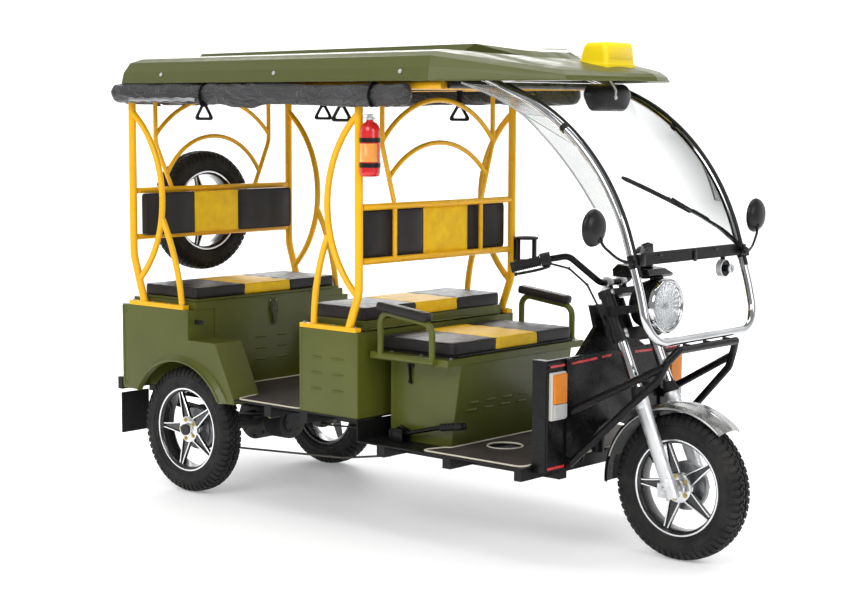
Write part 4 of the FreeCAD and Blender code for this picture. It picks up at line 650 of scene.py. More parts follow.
def rim_mesh(name, c, ax, out, body, node, bore, drum_in):
    a, P = wheel_space(c, ax, out)
    s = Soup()      # 0 black, 1 machined, 2 zinc, 3 drum
    barrel = [(0.1655, 0.0376), (0.1625, 0.0380), (0.1595, 0.0372), (0.1560, 0.0335), (0.1525, 0.0300), (0.1495, 0.0230), (0.1485, 0.0), (0.1495, -0.0230),
              (0.1525, -0.0300), (0.1580, -0.0370), (0.1655, -0.0380), (0.1660, -0.0345), (0.1600, -0.0335), (0.1590, -0.0200), (0.1590, 0.0200),
              (0.1600, 0.0335), (0.1660, 0.0345)]
    v, f = lathe(barrel, c, a, 120, closed=True)
    n = len(s.v)
    s.v += v
    for q in f:
        k = min(i % len(barrel) for i in q) if max(i % len(barrel) for i in q) - min(i % len(barrel) for i in q) == 1 else len(barrel) - 1
        s.f.append([i + n for i in q])
        s.i.append(1 if k in (0, 1, len(barrel) - 1) else 0)
    # five spokes: a dark floor between two machined ridges that close up towards the rim
    for k in range(5):
        t0 = math.radians(72 * k + 18)
        dirs = P(1.0, t0, 0) - Vector(c)
        sidev = P(1.0, t0 + math.pi / 2, 0) - Vector(c)

        def Q(r, x, h):
            return Vector(c) + dirs * r + sidev * x + a * h
        cols = ((0.046, 0.0235), (0.060, 0.0222), (0.100, 0.0160), (0.135, 0.0116), (0.1502, 0.0104))
        for sg in (1, -1):
            # ridge
            ring = []
            for r, w in cols:
                wi = w - 0.0058
                ring.append([Q(r, sg * w, 0.0125), Q(r, sg * w, 0.0248), Q(r, sg * (w - 0.0012), 0.0260), Q(r, sg * (wi + 0.001), 0.0260), Q(r, sg * wi, 0.0248), Q(r, sg * wi, 0.0125)])
            v = [p for q in ring for p in q]
            for i in range(len(cols) - 1):
                for j, m in ((0, 0), (1, 1), (2, 1), (3, 1), (4, 0), (5, 0)):
                    jn = (j + 1) % 6
                    q = (i * 6 + j, i * 6 + jn, i * 6 + 6 + jn, i * 6 + 6 + j)
                    s.add([v[e] for e in q], [(0, 1, 2, 3) if sg > 0 else (3, 2, 1, 0)], m)
        # floor between them
        v = []
        for r, w in cols:
            v += [Q(r, w - 0.005, 0.0195), Q(r, -w + 0.005, 0.0195), Q(r, -w + 0.002, 0.0130), Q(r, w - 0.002, 0.0130)]
        f = [(0, 1, 2, 3)]
        for i in range(len(cols) - 1):
            b = 4 * i
            for j in range(4):
                jn = (j + 1) % 4
                f.append((b + j, b + 4 + j, b + 4 + jn, b + jn))
        f.append((len(v) - 4, len(v) - 1, len(v) - 2, len(v) - 3))
        s.add(v, f, 0)
    # hub, its flange and the nuts
    s.add(*lathe([(bore, 0.0358), (0.0230, 0.0360), (0.0262, 0.0345), (0.0270, 0.0290), (0.0470, 0.0284), (0.0515, 0.0265), (0.0530, 0.0235),
                  (0.0530, 0.0120), (0.0380, 0.0100), (0.0380, -0.0098), (bore, -0.0098)], c, a, 60, closed=True), 1)
    for k in range(5):
        t = math.radians(72 * k + 18)
        b = bolt(P(0.0385, t, 0.0286), a, 0.0062, 0.0062)
        s.add(b.v, b.f, 2)
        b = bolt(P(0.0385, t, 0.0346), a, 0.0032, 0.003, False)
        s.add(b.v, b.f, 2)
    # brake drum
    s.add(*lathe([(bore, drum_in), (0.0600, drum_in), (0.0640, drum_in + 0.003), (0.0780, drum_in + 0.003), (0.0838, drum_in + 0.006), (0.0838, -0.020),
                  (0.0820, -0.018), (0.0838, -0.016), (0.0815, -0.0105), (0.0500, -0.0098), (bore, -0.0098)], c, a, 72, closed=True), 3)
    # valve stem
    v, f = sweep([P(0.152, math.radians(54), 0.010), P(0.141, math.radians(54), 0.016), P(0.124, math.radians(54), 0.024)], 0.0042, 8)
    s.add(v, f, 0)
    o = s.object(name, None, body, "rim", looks=[rim_black, bright, zinc, drum_grey], angle=30)
    clean(o)
    o.data.set_sharp_from_angle(angle=math.radians(30))
    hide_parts(node)
    return o


for wname, c, ax, out, body in WHEELS:
    tyre_mesh("tyre_" + wname, c, ax, out, body, wname + "_tyre")
    rim_mesh("wheel_" + wname, c, ax, out, body, wname + "_rim", 0.0086 if wname == "front" else 0.0142,
             {"front": -0.044, "spare": -0.037}.get(wname, -0.045))


# ------------------------------------------------------------------ upholstery
from mathutils.bvhtree import BVHTree


def puffed(name, lo, hi, corner, plane, hold, cap, voxel=0.006, pressure=7.0, frames=20):
    """A stuffed cover: a rounded block, remeshed evenly, then blown up as cloth.

    plane: 2 for a seat (z is the thickness), 0 for a back rest (x is the thickness).
    hold(p) gives how firmly the point is sewn or stapled down (0 to 1); cap: the furthest a point may move."""
    bm = bmesh.new()
    bmesh.ops.create_cube(bm, size=1.0)
    lo, hi = Vector(lo), Vector(hi)
    for v in bm.verts:
        v.co = Vector((lo[k] if v.co[k] < 0 else hi[k]) for k in range(3))
    posts = [e for e in bm.edges if abs(e.verts[0].co[plane] - e.verts[1].co[plane]) > 1e-6]
    bmesh.ops.bevel(bm, geom=posts, offset=corner, segments=4, profile=0.5, affect="EDGES")
    rims = [e for e in bm.edges if all(v.co[plane] > hi[plane] - 1e-5 for v in e.verts)]
    if plane == 2:
        bmesh.ops.bevel(bm, geom=rims, offset=0.009, segments=3, profile=0.5, affect="EDGES")
    me = bpy.data.meshes.new(name + "_block")
    bm.to_mesh(me)
    bm.free()
    o = bpy.data.objects.new(name + "_sim", me)
    COLL.objects.link(o)
    rm = o.modifiers.new("even", "REMESH")
    rm.mode, rm.voxel_size, rm.adaptivity = "VOXEL", voxel, 0.0
    dg = bpy.context.evaluated_depsgraph_get()
    even = bpy.data.meshes.new_from_object(o.evaluated_get(dg))
    o.modifiers.clear()
    o.data = even
    n = len(even.vertices)
    rest = np.empty(n * 3)
    even.vertices.foreach_get("co", rest)
    rest = rest.reshape(n, 3)
    grp = o.vertex_groups.new(name="held")
    for i in range(n):
        w = hold(rest[i])
        if w > 0:
            grp.add([i], min(1.0, w), "REPLACE")
    cl = o.modifiers.new("cover", "CLOTH")
    st = cl.settings
    st.quality, st.mass = 5, 0.25
    st.tension_stiffness = st.compression_stiffness = 12
    st.shear_stiffness, st.bending_stiffness = 8, 0.8
    st.use_pressure, st.uniform_pressure_force = True, pressure
    st.effector_weights.gravity = 0
    st.vertex_group_mass = "held"
    st.pin_stiffness = 1.0
    cl.collision_settings.use_collision = False
    cl.collision_settings.use_self_collision = False
    cl.point_cache.frame_start, cl.point_cache.frame_end = 1, frames
    for f in range(1, frames + 1):
        scene.frame_set(f)
    dg = bpy.context.evaluated_depsgraph_get()
    done = bpy.data.meshes.new_from_object(o.evaluated_get(dg))
    now = np.empty(n * 3)
    done.vertices.foreach_get("co", now)
    now = now.reshape(n, 3)
    scene.frame_set(1)
    move = now - rest
    far = np.linalg.norm(move, axis=1)
    move *= np.minimum(1.0, cap / np.maximum(far, 1e-9))[:, None]
    # soft slow unevenness of the foam under the cover
    amp = 0.0006
    wob = amp * (np.sin(rest[:, 0] * 71 + 1.3 * np.sin(rest[:, 1] * 33)) + np.sin(rest[:, 1] * 57 + 2.1 * np.sin(rest[:, 0] * 41 + 1.0)))
    final = rest + move
    final[:, plane] += wob * np.array([1 - hold(p) for p in rest])
    out = bpy.data.meshes.new(name)
    faces = [tuple(p.vertices) for p in even.polygons]
    out.from_pydata([tuple(p) for p in final], [], faces)
    bpy.data.objects.remove(o)
    return out


def split_colours(me, cuts, looks, pick):
    bm = bmesh.new()
    bm.from_mesh(me)
    for co, no in cuts:
        bmesh.ops.bisect_plane(bm, geom=list(bm.verts) + list(bm.edges) + list(bm.faces), plane_co=co, plane_no=no, dist=0.0002)
    bmesh.ops.recalc_face_normals(bm, faces=bm.faces)
    for f in bm.faces:
        f.material_index = pick(f.calc_center_median())
        f.smooth = True
    bm.to_mesh(me)
    bm.free()
    for k in looks:
        me.materials.append(k.m)
    return me


def hug(tree, starts, lift=0.0):
    """Points on the cover below each start point (start, direction)."""
    out = []
    for p, d in starts:
        hit, no, _, _ = tree.ray_cast(Vector(p), Vector(d).normalized())
        if hit is not None:
            out.append(hit + no * lift)
    return out


def smooth_line(pts, closed=False, rounds=3):
    pts = [p.copy() for p in pts]
    for _ in range(rounds):
        new = [p.copy() for p in pts]
        for i in range(len(pts)):
            if closed or 0 < i < len(pts) - 1:
                new[i] = pts[i] * 0.5 + (pts[i - 1] + pts[(i + 1) % len(pts)]) * 0.25
        pts = new
    return pts


def thinned(pts, gap):
    out = [pts[0]]
    for p in pts[1:]:
        if (p - out[-1]).length > gap:
            out.append(p)
    return out


def padded(name, lo, hi, plane, node, body, yellow, seams, welts, cap, corner=0.016, both=False, replace=True):
    """A seat cushion or a back rest with sewn joins across it and a welt round its rim.

    yellow: (y0, y1) of the middle colour; seams: y of the sewn joins; welts: thickness positions of rim seams."""
    lo, hi = Vector(lo), Vector(hi)
    w = 0 if plane == 2 else 2          # the short way across
    t0, t1 = lo[plane], hi[plane]

    def hold(p):
        edge = min(p[1] - lo[1], hi[1] - p[1], p[w] - lo[w], hi[w] - p[w])
        near_top = abs(p[plane] - t1) < 0.0085
        near_low = abs(p[plane] - t0) < 0.0085
        k = 0.0
        if near_low and not both:
            k = 1.0
        if edge < 0.0085 and (near_top or near_low):
            k = 1.0
        for y in seams:
            k = max(k, math.exp(-((p[1] - y) / 0.0045) ** 2))
        return k

    me = puffed(name, lo, hi, corner, plane, hold, cap)
    n = len(me.vertices)
    co = np.empty(n * 3)
    me.vertices.foreach_get("co", co)
    co = co.reshape(n, 3)
    mid = (t0 + t1) / 2
    sign = np.sign(co[:, plane] - mid)
    inner = np.minimum(np.minimum(co[:, w] - lo[w], hi[w] - co[:, w]) / 0.02, 1.0).clip(0, 1)
    for y in seams:
        dip = 0.0030 * np.exp(-((co[:, 1] - y) / 0.006) ** 2)
        face = (np.abs(co[:, plane] - mid) > (t1 - t0) * 0.30)
        move = np.where(face & ((sign > 0) | both), -sign * dip, 0.0)
        co[:, plane] += move
        # the cover is drawn in a little where a join runs down the side
        side = (~face)
        co[:, w] += np.where(side, -np.sign(co[:, w] - (lo[w] + hi[w]) / 2) * dip * 0.5, 0.0)
    me.vertices.foreach_set("co", co.reshape(-1))
    cuts = [((0, y, 0), (0, 1, 0)) for y in yellow]
    split_colours(me, cuts, [black_vinyl, yellow_vinyl], lambda c: 1 if yellow[0] < c[1] < yellow[1] else 0)
    tree = BVHTree.FromPolygons([v.co.copy() for v in me.vertices], [tuple(p.vertices) for p in me.polygons])
    o = bpy.data.objects.new(name, me)
    COLL.objects.link(o)
    sub = o.modifiers.new("round", "SUBSURF")
    sub.levels = sub.render_levels = 1
    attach(o, body)
    if replace:
        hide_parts(node)
    # joins across: a narrow welt lying in its groove
    s = Soup()
    centre = (lo + hi) / 2
    for y in seams:
        pts = []
        m = 90
        for i in range(m + 1):
            t = -0.48 * math.pi + (0.96 * math.pi) * i / m if not both else -math.pi + 2 * math.pi * i / m
            d = Vector((0, 0, 0))
            d[plane] = math.cos(t) if not both else math.cos(t)
            d[w] = math.sin(t)
            reach = Vector((0, 0, 0))
            reach[plane] = (t1 - t0) * 0.5
            reach[w] = (hi[w] - lo[w]) * 0.5
            # aim at the nearest point of the middle line so that the path goes squarely over the face
            aim = centre.copy()
            aim[1] = y
            aim[w] += math.sin(t) * (reach[w] - reach[plane] * 0.9)
            start = aim + d.normalized() * 0.4
            pts.append((start, -d))
        line = thinned(smooth_line(hug(tree, pts, 0.0002), both), 0.003)
        if len(line) > 4:
            s.add(*sweep(line, 0.0013, 6, closed=both), index=0)
    # rim seams all the way round
    for tt in welts:
        pts = []
        m = 220
        inset = 0.004
        lx, ly = (hi[w] - lo[w]) / 2, (hi[1] - lo[1]) / 2
        ring = loop_path([(-lx, -ly, 0), (lx, -ly, 0), (lx, ly, 0), (-lx, ly, 0)], corner * 1.4, 8)
        dense = []
        for i in range(len(ring)):
            a, b = ring[i], ring[(i + 1) % len(ring)]
            k = max(1, int((b - a).length / 0.010))
            dense += [a.lerp(b, j / k) for j in range(k)]
        for q in dense:
            nx, ny = q.x / lx, q.y / ly
            big = max(abs(nx), abs(ny))
            d = Vector((0, 0, 0))
            ex = 1.0 if abs(nx) > 0.999 else 0.0
            out = Vector((0, 0, 0))
            out[w] = nx ** 15
            out[1] = ny ** 15
            if out.length < 1e-3:
                out[w], out[1] = nx, ny
            out.normalize()
            out[plane] = 1.0 if tt > mid else -1.0
            base = centre.copy()
            base[w] += q.x - out[w] * inset
            base[1] += q.y - out[1] * inset
            base[plane] = tt - (inset if tt > mid else -inset)
            pts.append((base + out.normalized() * 0.05, -out))
        line = thinned(smooth_line(hug(tree, pts, 0.0004), True, 4), 0.004)
        v, f = sweep(line, 0.0022, 7, closed=True)
        for q in f:
            c = sum((v[k] for k in q), Vector()) / len(q)
            s.add([v[k] for k in q], [tuple(range(len(q)))], 1 if yellow[0] < c.y < yellow[1] else 0)
    so = s.object(name + "_seams", None, body, "vinyl", looks=[thread, yellow_vinyl], angle=None)
    clean(so)
    so.data.shade_smooth()
    return o


padded("rear_bench_cushion", (-1.2225, -0.3895, 0.7670), (-0.9135, 0.3895, 0.8110), 2, "rear_cushion", "rear_lid",
       (-0.126, 0.126), (-0.126, 0.126), (0.8110,), 0.0130)
padded("mid_bench_cushion", (-0.2725, -0.3845, 0.7550), (-0.0025, 0.3845, 0.8020), 2, "mid_cushion", "mid_lid",
       (-0.110, 0.126), (-0.110, 0.126), (0.8020,), 0.0130)
padded("driver_bench_cushion", (0.0335, -0.3425, 0.6590), (0.3795, 0.3425, 0.7030), 2, "driver_cushion", "driver_lid",
       (-0.105, 0.134), (-0.105, 0.134), (0.7030,), 0.0130)
padded("rear_back_rest", (-1.2220, -0.4025, 1.0060), (-1.1905, 0.4025, 1.1730), 0, "backrests", "chassis",
       (-0.146, 0.096), (-0.146, 0.096), (-1.1905,), 0.006, corner=0.010)
padded("mid_back_rest", (-0.0310, -0.4025, 0.9780), (-0.0005, 0.4025, 1.1540), 0, "backrests", "chassis",
       (-0.070, 0.185), (-0.262, -0.070, 0.185, 0.270), (-0.0310, -0.0005), 0.004, corner=0.010, both=True)


# ------------------------------------------------------------------ pressed panels, latches, mats and fastenings
def dash(a, b, n, w=0.004, h=0.003, steps=12):
    """A pressed rib that runs out at both ends."""
    a, b, n = Vector(a), Vector(b), Vector(n).normalized()
    side = (b - a).normalized().cross(n)
    prof = ((-1, -0.3), (-0.8, 0.35), (-0.35, 0.85), (0, 1), (0.35, 0.85), (0.8, 0.35), (1, -0.3))
    v, f = [], []
    for i in range(steps + 1):
        t = i / steps
        s = max(0.06, (1 - (2 * t - 1) ** 6)) ** 0.6
        v += [a.lerp(b, t) + side * (w * s * c) + n * (h * s * q) for c, q in prof]
    m = len(prof)
    for i in range(steps):
        for k in range(m):
            q = (k + 1) % m
            f.append((i * m + k, i * m + q, i * m + m + q, i * m + m + k))
    f += [tuple(reversed(range(m))), tuple(steps * m + k for k in range(m))]
    return v, f


def strip(pts, half_w, thick, n, closed=False):
    """A flat band along points, lying on a face with the normal n."""
    n = Vector(n).normalized()
    pts = [Vector(p) for p in pts]
    v, f = [], []
    for i, p in enumerate(pts):
        a = pts[i - 1] if (i > 0 or closed) else p
        b = pts[(i + 1) % len(pts)] if (i < len(pts) - 1 or closed) else p
        side = (b - a).normalized().cross(n)
        for c, q in ((-1, 0), (-0.8, 1), (0.8, 1), (1, 0)):
            v.append(p + side * (half_w * c) + n * (thick * q))
    m = len(pts)
    for i in range(m if closed else m - 1):
        j = (i + 1) % m
        for k in range(4):
            q = (k + 1) % 4
            f.append((i * 4 + k, i * 4 + q, j * 4 + q, j * 4 + k))
    if not closed:
        f += [(3, 2, 1, 0), tuple(m * 4 - 4 + k for k in range(4))]
    return v, f


# louvres of the mid box, both sides, and of the rear seat box
s = Soup()
for z in (0.614, 0.556, 0.497):
    for a, b in ((-0.222, -0.160), (-0.118, -0.048)):
        s.add(*dash((a, -0.4428, z), (b, -0.4428, z), (0, -1, 0), 0.0045, 0.0050))
s.mirrored(1)
for z in (0.592, 0.547, 0.502):
    for a, b in ((-0.095, -0.033), (0.030, 0.088)):
        s.add(*dash((-0.8892, a, z), (-0.8892, b, z), (1, 0, 0), 0.0045, 0.0045))
s.object("box_louvres", green, "chassis", "green_paint")

# slots in the front of the driver's box
s = Soup()
ux = Vector((0.044, 0, 0.295)).normalized()
nx = Vector((ux.z, 0, -ux.x))
for row, z in enumerate((0.4825, 0.4560)):
    for k in range(5):
        y = -0.260 + 0.006 * (1 - row) + 0.0935 * k
        x = 0.354 + 0.044 * (z - 0.329) / 0.295
        s.add(*dash((x + 0.0003, y, z), (x + 0.0003, y + 0.056, z), nx, 0.0050, 0.0050))
s.object("driver_box_slots", green, "chassis", "green_paint")

# over-centre catch of the rear seat, pull handle of the side locker and rubber strap of the driver's box
s = Soup()
s.add(*slab((-0.8888, -0.016, 0.700), (-0.8868, 0.028, 0.742), 0.0008))
s.add(*slab((-0.8868, -0.010, 0.688), (-0.8800, 0.022, 0.712), 0.002))
s.add(*sweep(loop_path([(-0.8815, -0.011, 0.742), (-0.8815, 0.023, 0.742), (-0.8795, 0.023, 0.684), (-0.8795, -0.011, 0.684)], 0.006), 0.0016, 8, True))
s.add(*slab((-0.8886, -0.004, 0.636), (-0.8850, 0.017, 0.690), 0.0012))
s.add(*sweep(round_path([(-0.884, 0.006, 0.690), (-0.876, 0.006, 0.668), (-0.879, 0.006, 0.646)], 0.01), 0.0042, 8, shape=[(-0.5, -2), (0.5, -2), (0.5, 2), (-0.5, 2)]))
s.object("rear_seat_catch", paint("catch_green", (0.045, 0.050, 0.012), 0.45, 0.0, vary=0.2, peel=0.1), "chassis", "green_paint", angle=30)
bolts("rear_catch_rivets", [((-0.8868, y, z), (1, 0, 0)) for y, z in ((-0.011, 0.737), (0.023, 0.737), (0.000, 0.642), (0.013, 0.642))], "chassis", steel, 0.0022, 0.0016)
s = Soup()
s.add(*slab((-0.905, -0.4135, 0.672), (-0.842, -0.4105, 0.690), 0.0014))
s.mirrored(1)
s.object("locker_pulls", dark_plastic, "chassis", "black_plastic")
s = Soup()
s.add(*slab((0.147, -0.322, 0.598), (0.177, -0.3172, 0.616), 0.002))
s.add(*sweep([(0.162, -0.3215, 0.604), (0.1625, -0.3235, 0.584), (0.163, -0.3215, 0.560), (0.163, -0.3205, 0.543)], 0.0035, shape=[(-0.6, -2.0), (0.6, -2.0), (0.6, 2.0), (-0.6, 2.0)], taper=[1.5, 1.0, 1.0, 1.6]))
s.add(*lathe([(0, 0), (0.007, 0), (0.007, 0.006), (0, 0.006)], (0.163, -0.3172, 0.543), (0, -1, 0), 16))
s.mirrored(1)
s.object("driver_box_straps", rubber, "chassis", "black_plastic", angle=40)

# rolled lips round the rear wheel openings
s = Soup()
run = []
for k in range(41):
    t = math.radians(-18 + (216) * k / 40)
    x, z = -0.94 + 0.2795 * math.cos(t), 0.25 + 0.2795 * math.sin(t)
    if z > 0.388 and (x < -0.640):
        run.append((x, -0.4688, z))
s.add(*sweep(run, 0.0052, 10))
s.mirrored(1)
s.object("arch_lips", green, "chassis", "green_paint")

# folded edges and seam lines of the sheet boxes
s = Soup()
for sg in (-1,):
    s.add(*strip([(-1.2868, -0.4478, 0.395), (-1.2868, -0.4478, 0.722)], 0.006, 0.0016, (0, -1, 0)))
    s.add(*strip([(-0.899, -0.4478, 0.618), (-0.899, -0.4478, 0.722)], 0.006, 0.0016, (0, -1, 0)))
    s.add(*strip([(-0.2715, -0.4431, 0.412), (-0.2715, -0.4431, 0.714)], 0.006, 0.0016, (0, -1, 0)))
    s.add(*strip([(0.0095, -0.4431, 0.412), (0.0095, -0.4431, 0.714)], 0.006, 0.0016, (0, -1, 0)))
    s.add(*strip([(0.070, -0.3172, 0.337), (0.070, -0.3172, 0.618)], 0.005, 0.0014, (0, -1, 0)))
    s.add(*strip([(0.349, -0.3172, 0.337), (0.391, -0.3172, 0.618)], 0.005, 0.0014, (0, -1, 0)))
    s.add(*strip([(-0.889, -0.300, 0.414), (-0.889, -0.300, 0.606)], 0.005, 0.0014, (1, 0, 0)))
    s.add(*strip([(0.0162, -0.437, 0.412), (0.0162, -0.437, 0.714)], 0.005, 0.0014, (1, 0, 0)))
s.mirrored(1)
s.add(*strip([(-0.889, -0.405, 0.7535), (-0.889, 0.405, 0.7535)], 0.003, 0.0012, (1, 0, 0)))
s.add(*strip([(0.0162, -0.43, 0.4125), (0.0162, 0.43, 0.4125)], 0.005, 0.0014, (1, 0, 0)))
s.object("panel_folds", green, "chassis", "green_paint", angle=30)

# bolts through the yellow foot bars, and along the boxes
spots = []
for sg in (-1, 1):
    for x in (-1.238, -1.120, -1.020, -0.934):
        spots.append(((x, sg * 0.432, 0.745), (0, 0, 1)))
    for x in (-0.262, -0.110, -0.002):
        spots.append(((x, sg * 0.432, 0.734), (0, 0, 1)))
    for z in (0.43, 0.69):
        spots.append(((-1.2919, sg * 0.425, z), (-1, 0, 0)))
    for x in (0.10, 0.24, 0.38):
        spots.append(((x, sg * 0.352, 0.650), (0, 0, 1)))
bolts("frame_bolts", spots, "chassis", steel, 0.0052, 0.004)
spots = [((x, sg * 0.4472, z), (0, sg, 0)) for sg in (-1, 1) for x, z in ((-1.270, 0.41), (-1.270, 0.70), (-0.91, 0.70), (-0.70, 0.43))]
spots += [((x, sg * 0.4432, z), (0, sg, 0)) for sg in (-1, 1) for x in (-0.264, 0.002) for z in (0.43, 0.69)]
spots += [((0.0165, y, 0.43), (1, 0, 0)) for y in (-0.40, -0.2, 0.0, 0.2, 0.40)]
bolts("panel_screws", spots, "chassis", green, 0.0036, 0.0022)

# floor mats with a pale piping round the edge
def mat(name, outline, z, thick=0.004, body="chassis", hole=None):
    """Rubber sheet with a worn, slightly raised surface, piped edges and a round hole if one is given."""
    loops = [loop_path([(x, y, z) for x, y in outline], 0.03, 6)]
    if hole:
        hx, hy, hr = hole
        loops.append([Vector((hx + hr * math.cos(t), hy - hr * math.sin(t), z)) for t in [2 * math.pi * k / 48 for k in range(48)]])
    flat = [p for l in loops for p in l]
    n = len(flat)
    tris = mathutils.geometry.tessellate_polygon([[Vector((p.x, p.y, 0)) for p in l] for l in loops])
    v = [Vector((p.x, p.y, z + 0.0003)) for p in flat] + [Vector((p.x, p.y, z + thick)) for p in flat]
    f = []
    for a, b, c in tris:
        up = (flat[b] - flat[a]).cross(flat[c] - flat[a]).z > 0
        a, b, c = (a, b, c) if up else (a, c, b)
        f += [(n + a, n + b, n + c), (a, c, b)]
    o = 0
    for l in loops:
        m = len(l)
        for k in range(m):
            q = (k + 1) % m
            f.append((o + k, o + q, n + o + q, n + o + k))
        o += m
    o = make(name, v, f, mat_rubber, body, "black_rubber", angle=40)
    clean(o)
    s = Soup()
    for l in loops:
        s.add(*sweep([Vector((p.x, p.y, z + thick)) for p in l], 0.0034, 8, True))
    return o, s.object(name + "_piping", piping, body, "black_rubber")


mat("passenger_mat", [(-0.884, -0.300), (-0.645, -0.300), (-0.622, -0.438), (-0.284, -0.438), (-0.284, 0.438), (-0.622, 0.438), (-0.645, 0.300), (-0.884, 0.300)], 0.4062)
mat("driver_mat", [(0.368, -0.335), (0.345, -0.345), (0.318, -0.436), (0.762, -0.436), (0.762, -0.355), (0.806, -0.350), (0.806, -0.168), (0.764, -0.140), (0.764, -0.034), (0.716, -0.034),
                   (0.716, 0.034), (0.764, 0.034), (0.764, 0.140), (0.806, 0.168), (0.806, 0.350), (0.762, 0.355), (0.762, 0.436), (0.318, 0.436), (0.345, 0.345), (0.368, 0.335)], 0.3292, hole=(0.482, -0.176, 0.0625))

# red reflecting bands and lamps on the leg shield
s = Soup()
X = 0.8303
s.add(*strip([(X, -0.372, 0.668), (X, -0.2925, 0.668)], 0.0042, 0.0012, (1, 0, 0)))
s.add(*strip([(X, -0.259, 0.668), (X, -0.110, 0.672)], 0.0042, 0.0012, (1, 0, 0)))
s.add(*strip([(X, -0.085, 0.673), (X, -0.030, 0.675)], 0.0042, 0.0012, (1, 0, 0)))
s.add(*strip([(X, -0.388, 0.326), (X, -0.2925, 0.326)], 0.0048, 0.0012, (1, 0, 0)))
s.mirrored(1)
s.object("shield_reflectors", reflect_red, "chassis", "lamp_plastic")
# bead pressed along the shield's edges, and screws
s = Soup()
for y in (-0.388,):
    s.add(*sweep([(X - 0.0004, y, 0.322), (X - 0.0004, y, 0.682)], 0.0032, 8))
    s.add(*sweep([(X - 0.0004, -0.384, 0.684), (X - 0.0004, -0.190, 0.684)], 0.0032, 8))
s.mirrored(1)
s.object("shield_beads", black, "chassis", "black_metal")
bolts("shield_bolts", [((0.8385, sg * 0.276, z), (1, 0, 0)) for sg in (-1, 1) for z in (0.345, 0.415, 0.555, 0.670)] +
      [((0.8302, sg * 0.378, z), (1, 0, 0)) for sg in (-1, 1) for z in (0.352, 0.470, 0.666)], "chassis", frame_black, 0.0044, 0.0036)

# combined front lamps: pale case, amber over white lens
body_s, amber_s, white_s = Soup(), Soup(), Soup()
for sg in (-1, 1):
    y0, y1 = sorted((sg * 0.302, sg * 0.382))
    body_s.add(*slab((0.8302, y0, 0.489), (0.8452, y1, 0.650), 0.004, 3))
    amber_s.add(*slab((0.8440, y0 + 0.006, 0.545), (0.8545, y1 - 0.006, 0.644), 0.0035, 3))
    white_s.add(*slab((0.8440, y0 + 0.006, 0.495), (0.8545, y1 - 0.006, 0.5438), 0.0035, 3))
cases = body_s.object("front_lamp_cases", plastic("lamp_case_white", (0.50, 0.48, 0.44), 0.4, 900, 0.05, 0.05), "chassis", "lamp_plastic")
make("front_lamp_amber", amber_s.v, amber_s.f, orange_lens, "chassis", "lamp_plastic")
make("front_lamp_white", white_s.v, white_s.f, white_lens, "chassis", "lamp_plastic")
# tail lamps: red, amber and white fields in a black case
body_s, red_s, amber_s, white_s = Soup(), Soup(), Soup(), Soup()
for sg in (-1, 1):
    y0, y1 = sorted((sg * 0.330, sg * 0.410))
    body_s.add(*slab((-1.3020, y0, 0.500), (-1.2922, y1, 0.660), 0.003, 3))
    red_s.add(*slab((-1.3100, y0 + 0.005, 0.600), (-1.3010, y1 - 0.005, 0.655), 0.003, 3))
    amber_s.add(*slab((-1.3100, y0 + 0.005, 0.552), (-1.3010, y1 - 0.005, 0.5985), 0.003, 3))
    white_s.add(*slab((-1.3100, y0 + 0.005, 0.505), (-1.3010, y1 - 0.005, 0.5505), 0.003, 3))
tails = body_s.object("tail_lamp_cases", dark_plastic, "chassis", "lamp_plastic")
make("tail_lamp_red", red_s.v, red_s.f, red_lens, "chassis", "lamp_plastic")
make("tail_lamp_amber", amber_s.v, amber_s.f, orange_lens, "chassis", "lamp_plastic")
make("tail_lamp_white", white_s.v, white_s.f, white_lens, "chassis", "lamp_plastic")
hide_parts("marker_lamps")

# tail: blank number plate holder, ribs on the rear panel, bumper edges and the mudflap screws
s = Soup()
s.add(*slab((-1.2990, -0.150, 0.540), (-1.2925, 0.150, 0.650), 0.003, 2))
s.object("rear_plate_holder", plastic("plate_blank", (0.60, 0.58, 0.50), 0.45, 900, 0.05, 0.05), "chassis", "green_paint")
s = Soup()
for z in (0.440, 0.480, 0.690):
    s.add(*dash((-1.2922, -0.27, z), (-1.2922, 0.27, z), (-1, 0, 0), 0.006, 0.004, 16))
s.object("rear_panel_ribs", green, "chassis", "green_paint")
s = Soup()
for sg in (-1, 1):
    s.add(*slab((-1.3555, min(sg * 0.36, sg * 0.425), 0.380), (-1.3498, max(sg * 0.36, sg * 0.425), 0.414), 0.003, 3))
s.object("bumper_pads", rubber, "chassis", "black_rubber")
bolts("flap_screws", [((-1.3102, sg * y, 0.352), (-1, 0, 0)) for sg in (-1, 1) for y in (0.330, 0.376, 0.425)], "chassis", steel, 0.005, 0.003)


# ------------------------------------------------------------------ headlight, fork, bar and controls
RAKE = math.radians(23.2)
AX = Vector((-math.sin(RAKE), 0, math.cos(RAKE)))
FW = Vector((math.cos(RAKE), 0, math.sin(RAKE)))
STEM = Vector((1.096, 0, 0.234))


def stem(s, t=0.0, y=0.0):
    return STEM + AX * s + FW * t + Vector((0, y, 0))


# headlight: bright ring, bowl with facets, bulb and a curved clear lens
H = Vector((1.040, 0, 0.857))
s = Soup()
s.add(*lathe([(0.0785, -0.006), (0.0785, 0.000), (0.0815, 0.0040), (0.0865, 0.0052), (0.0910, 0.0030), (0.0930, -0.002), (0.0932, -0.016), (0.0924, -0.0162), (0.0922, -0.006), (0.082, -0.0062)],
             H, (1, 0, 0), 64, True))
ring = s.object("headlight_ring", chrome, "steering", "chrome", angle=40)
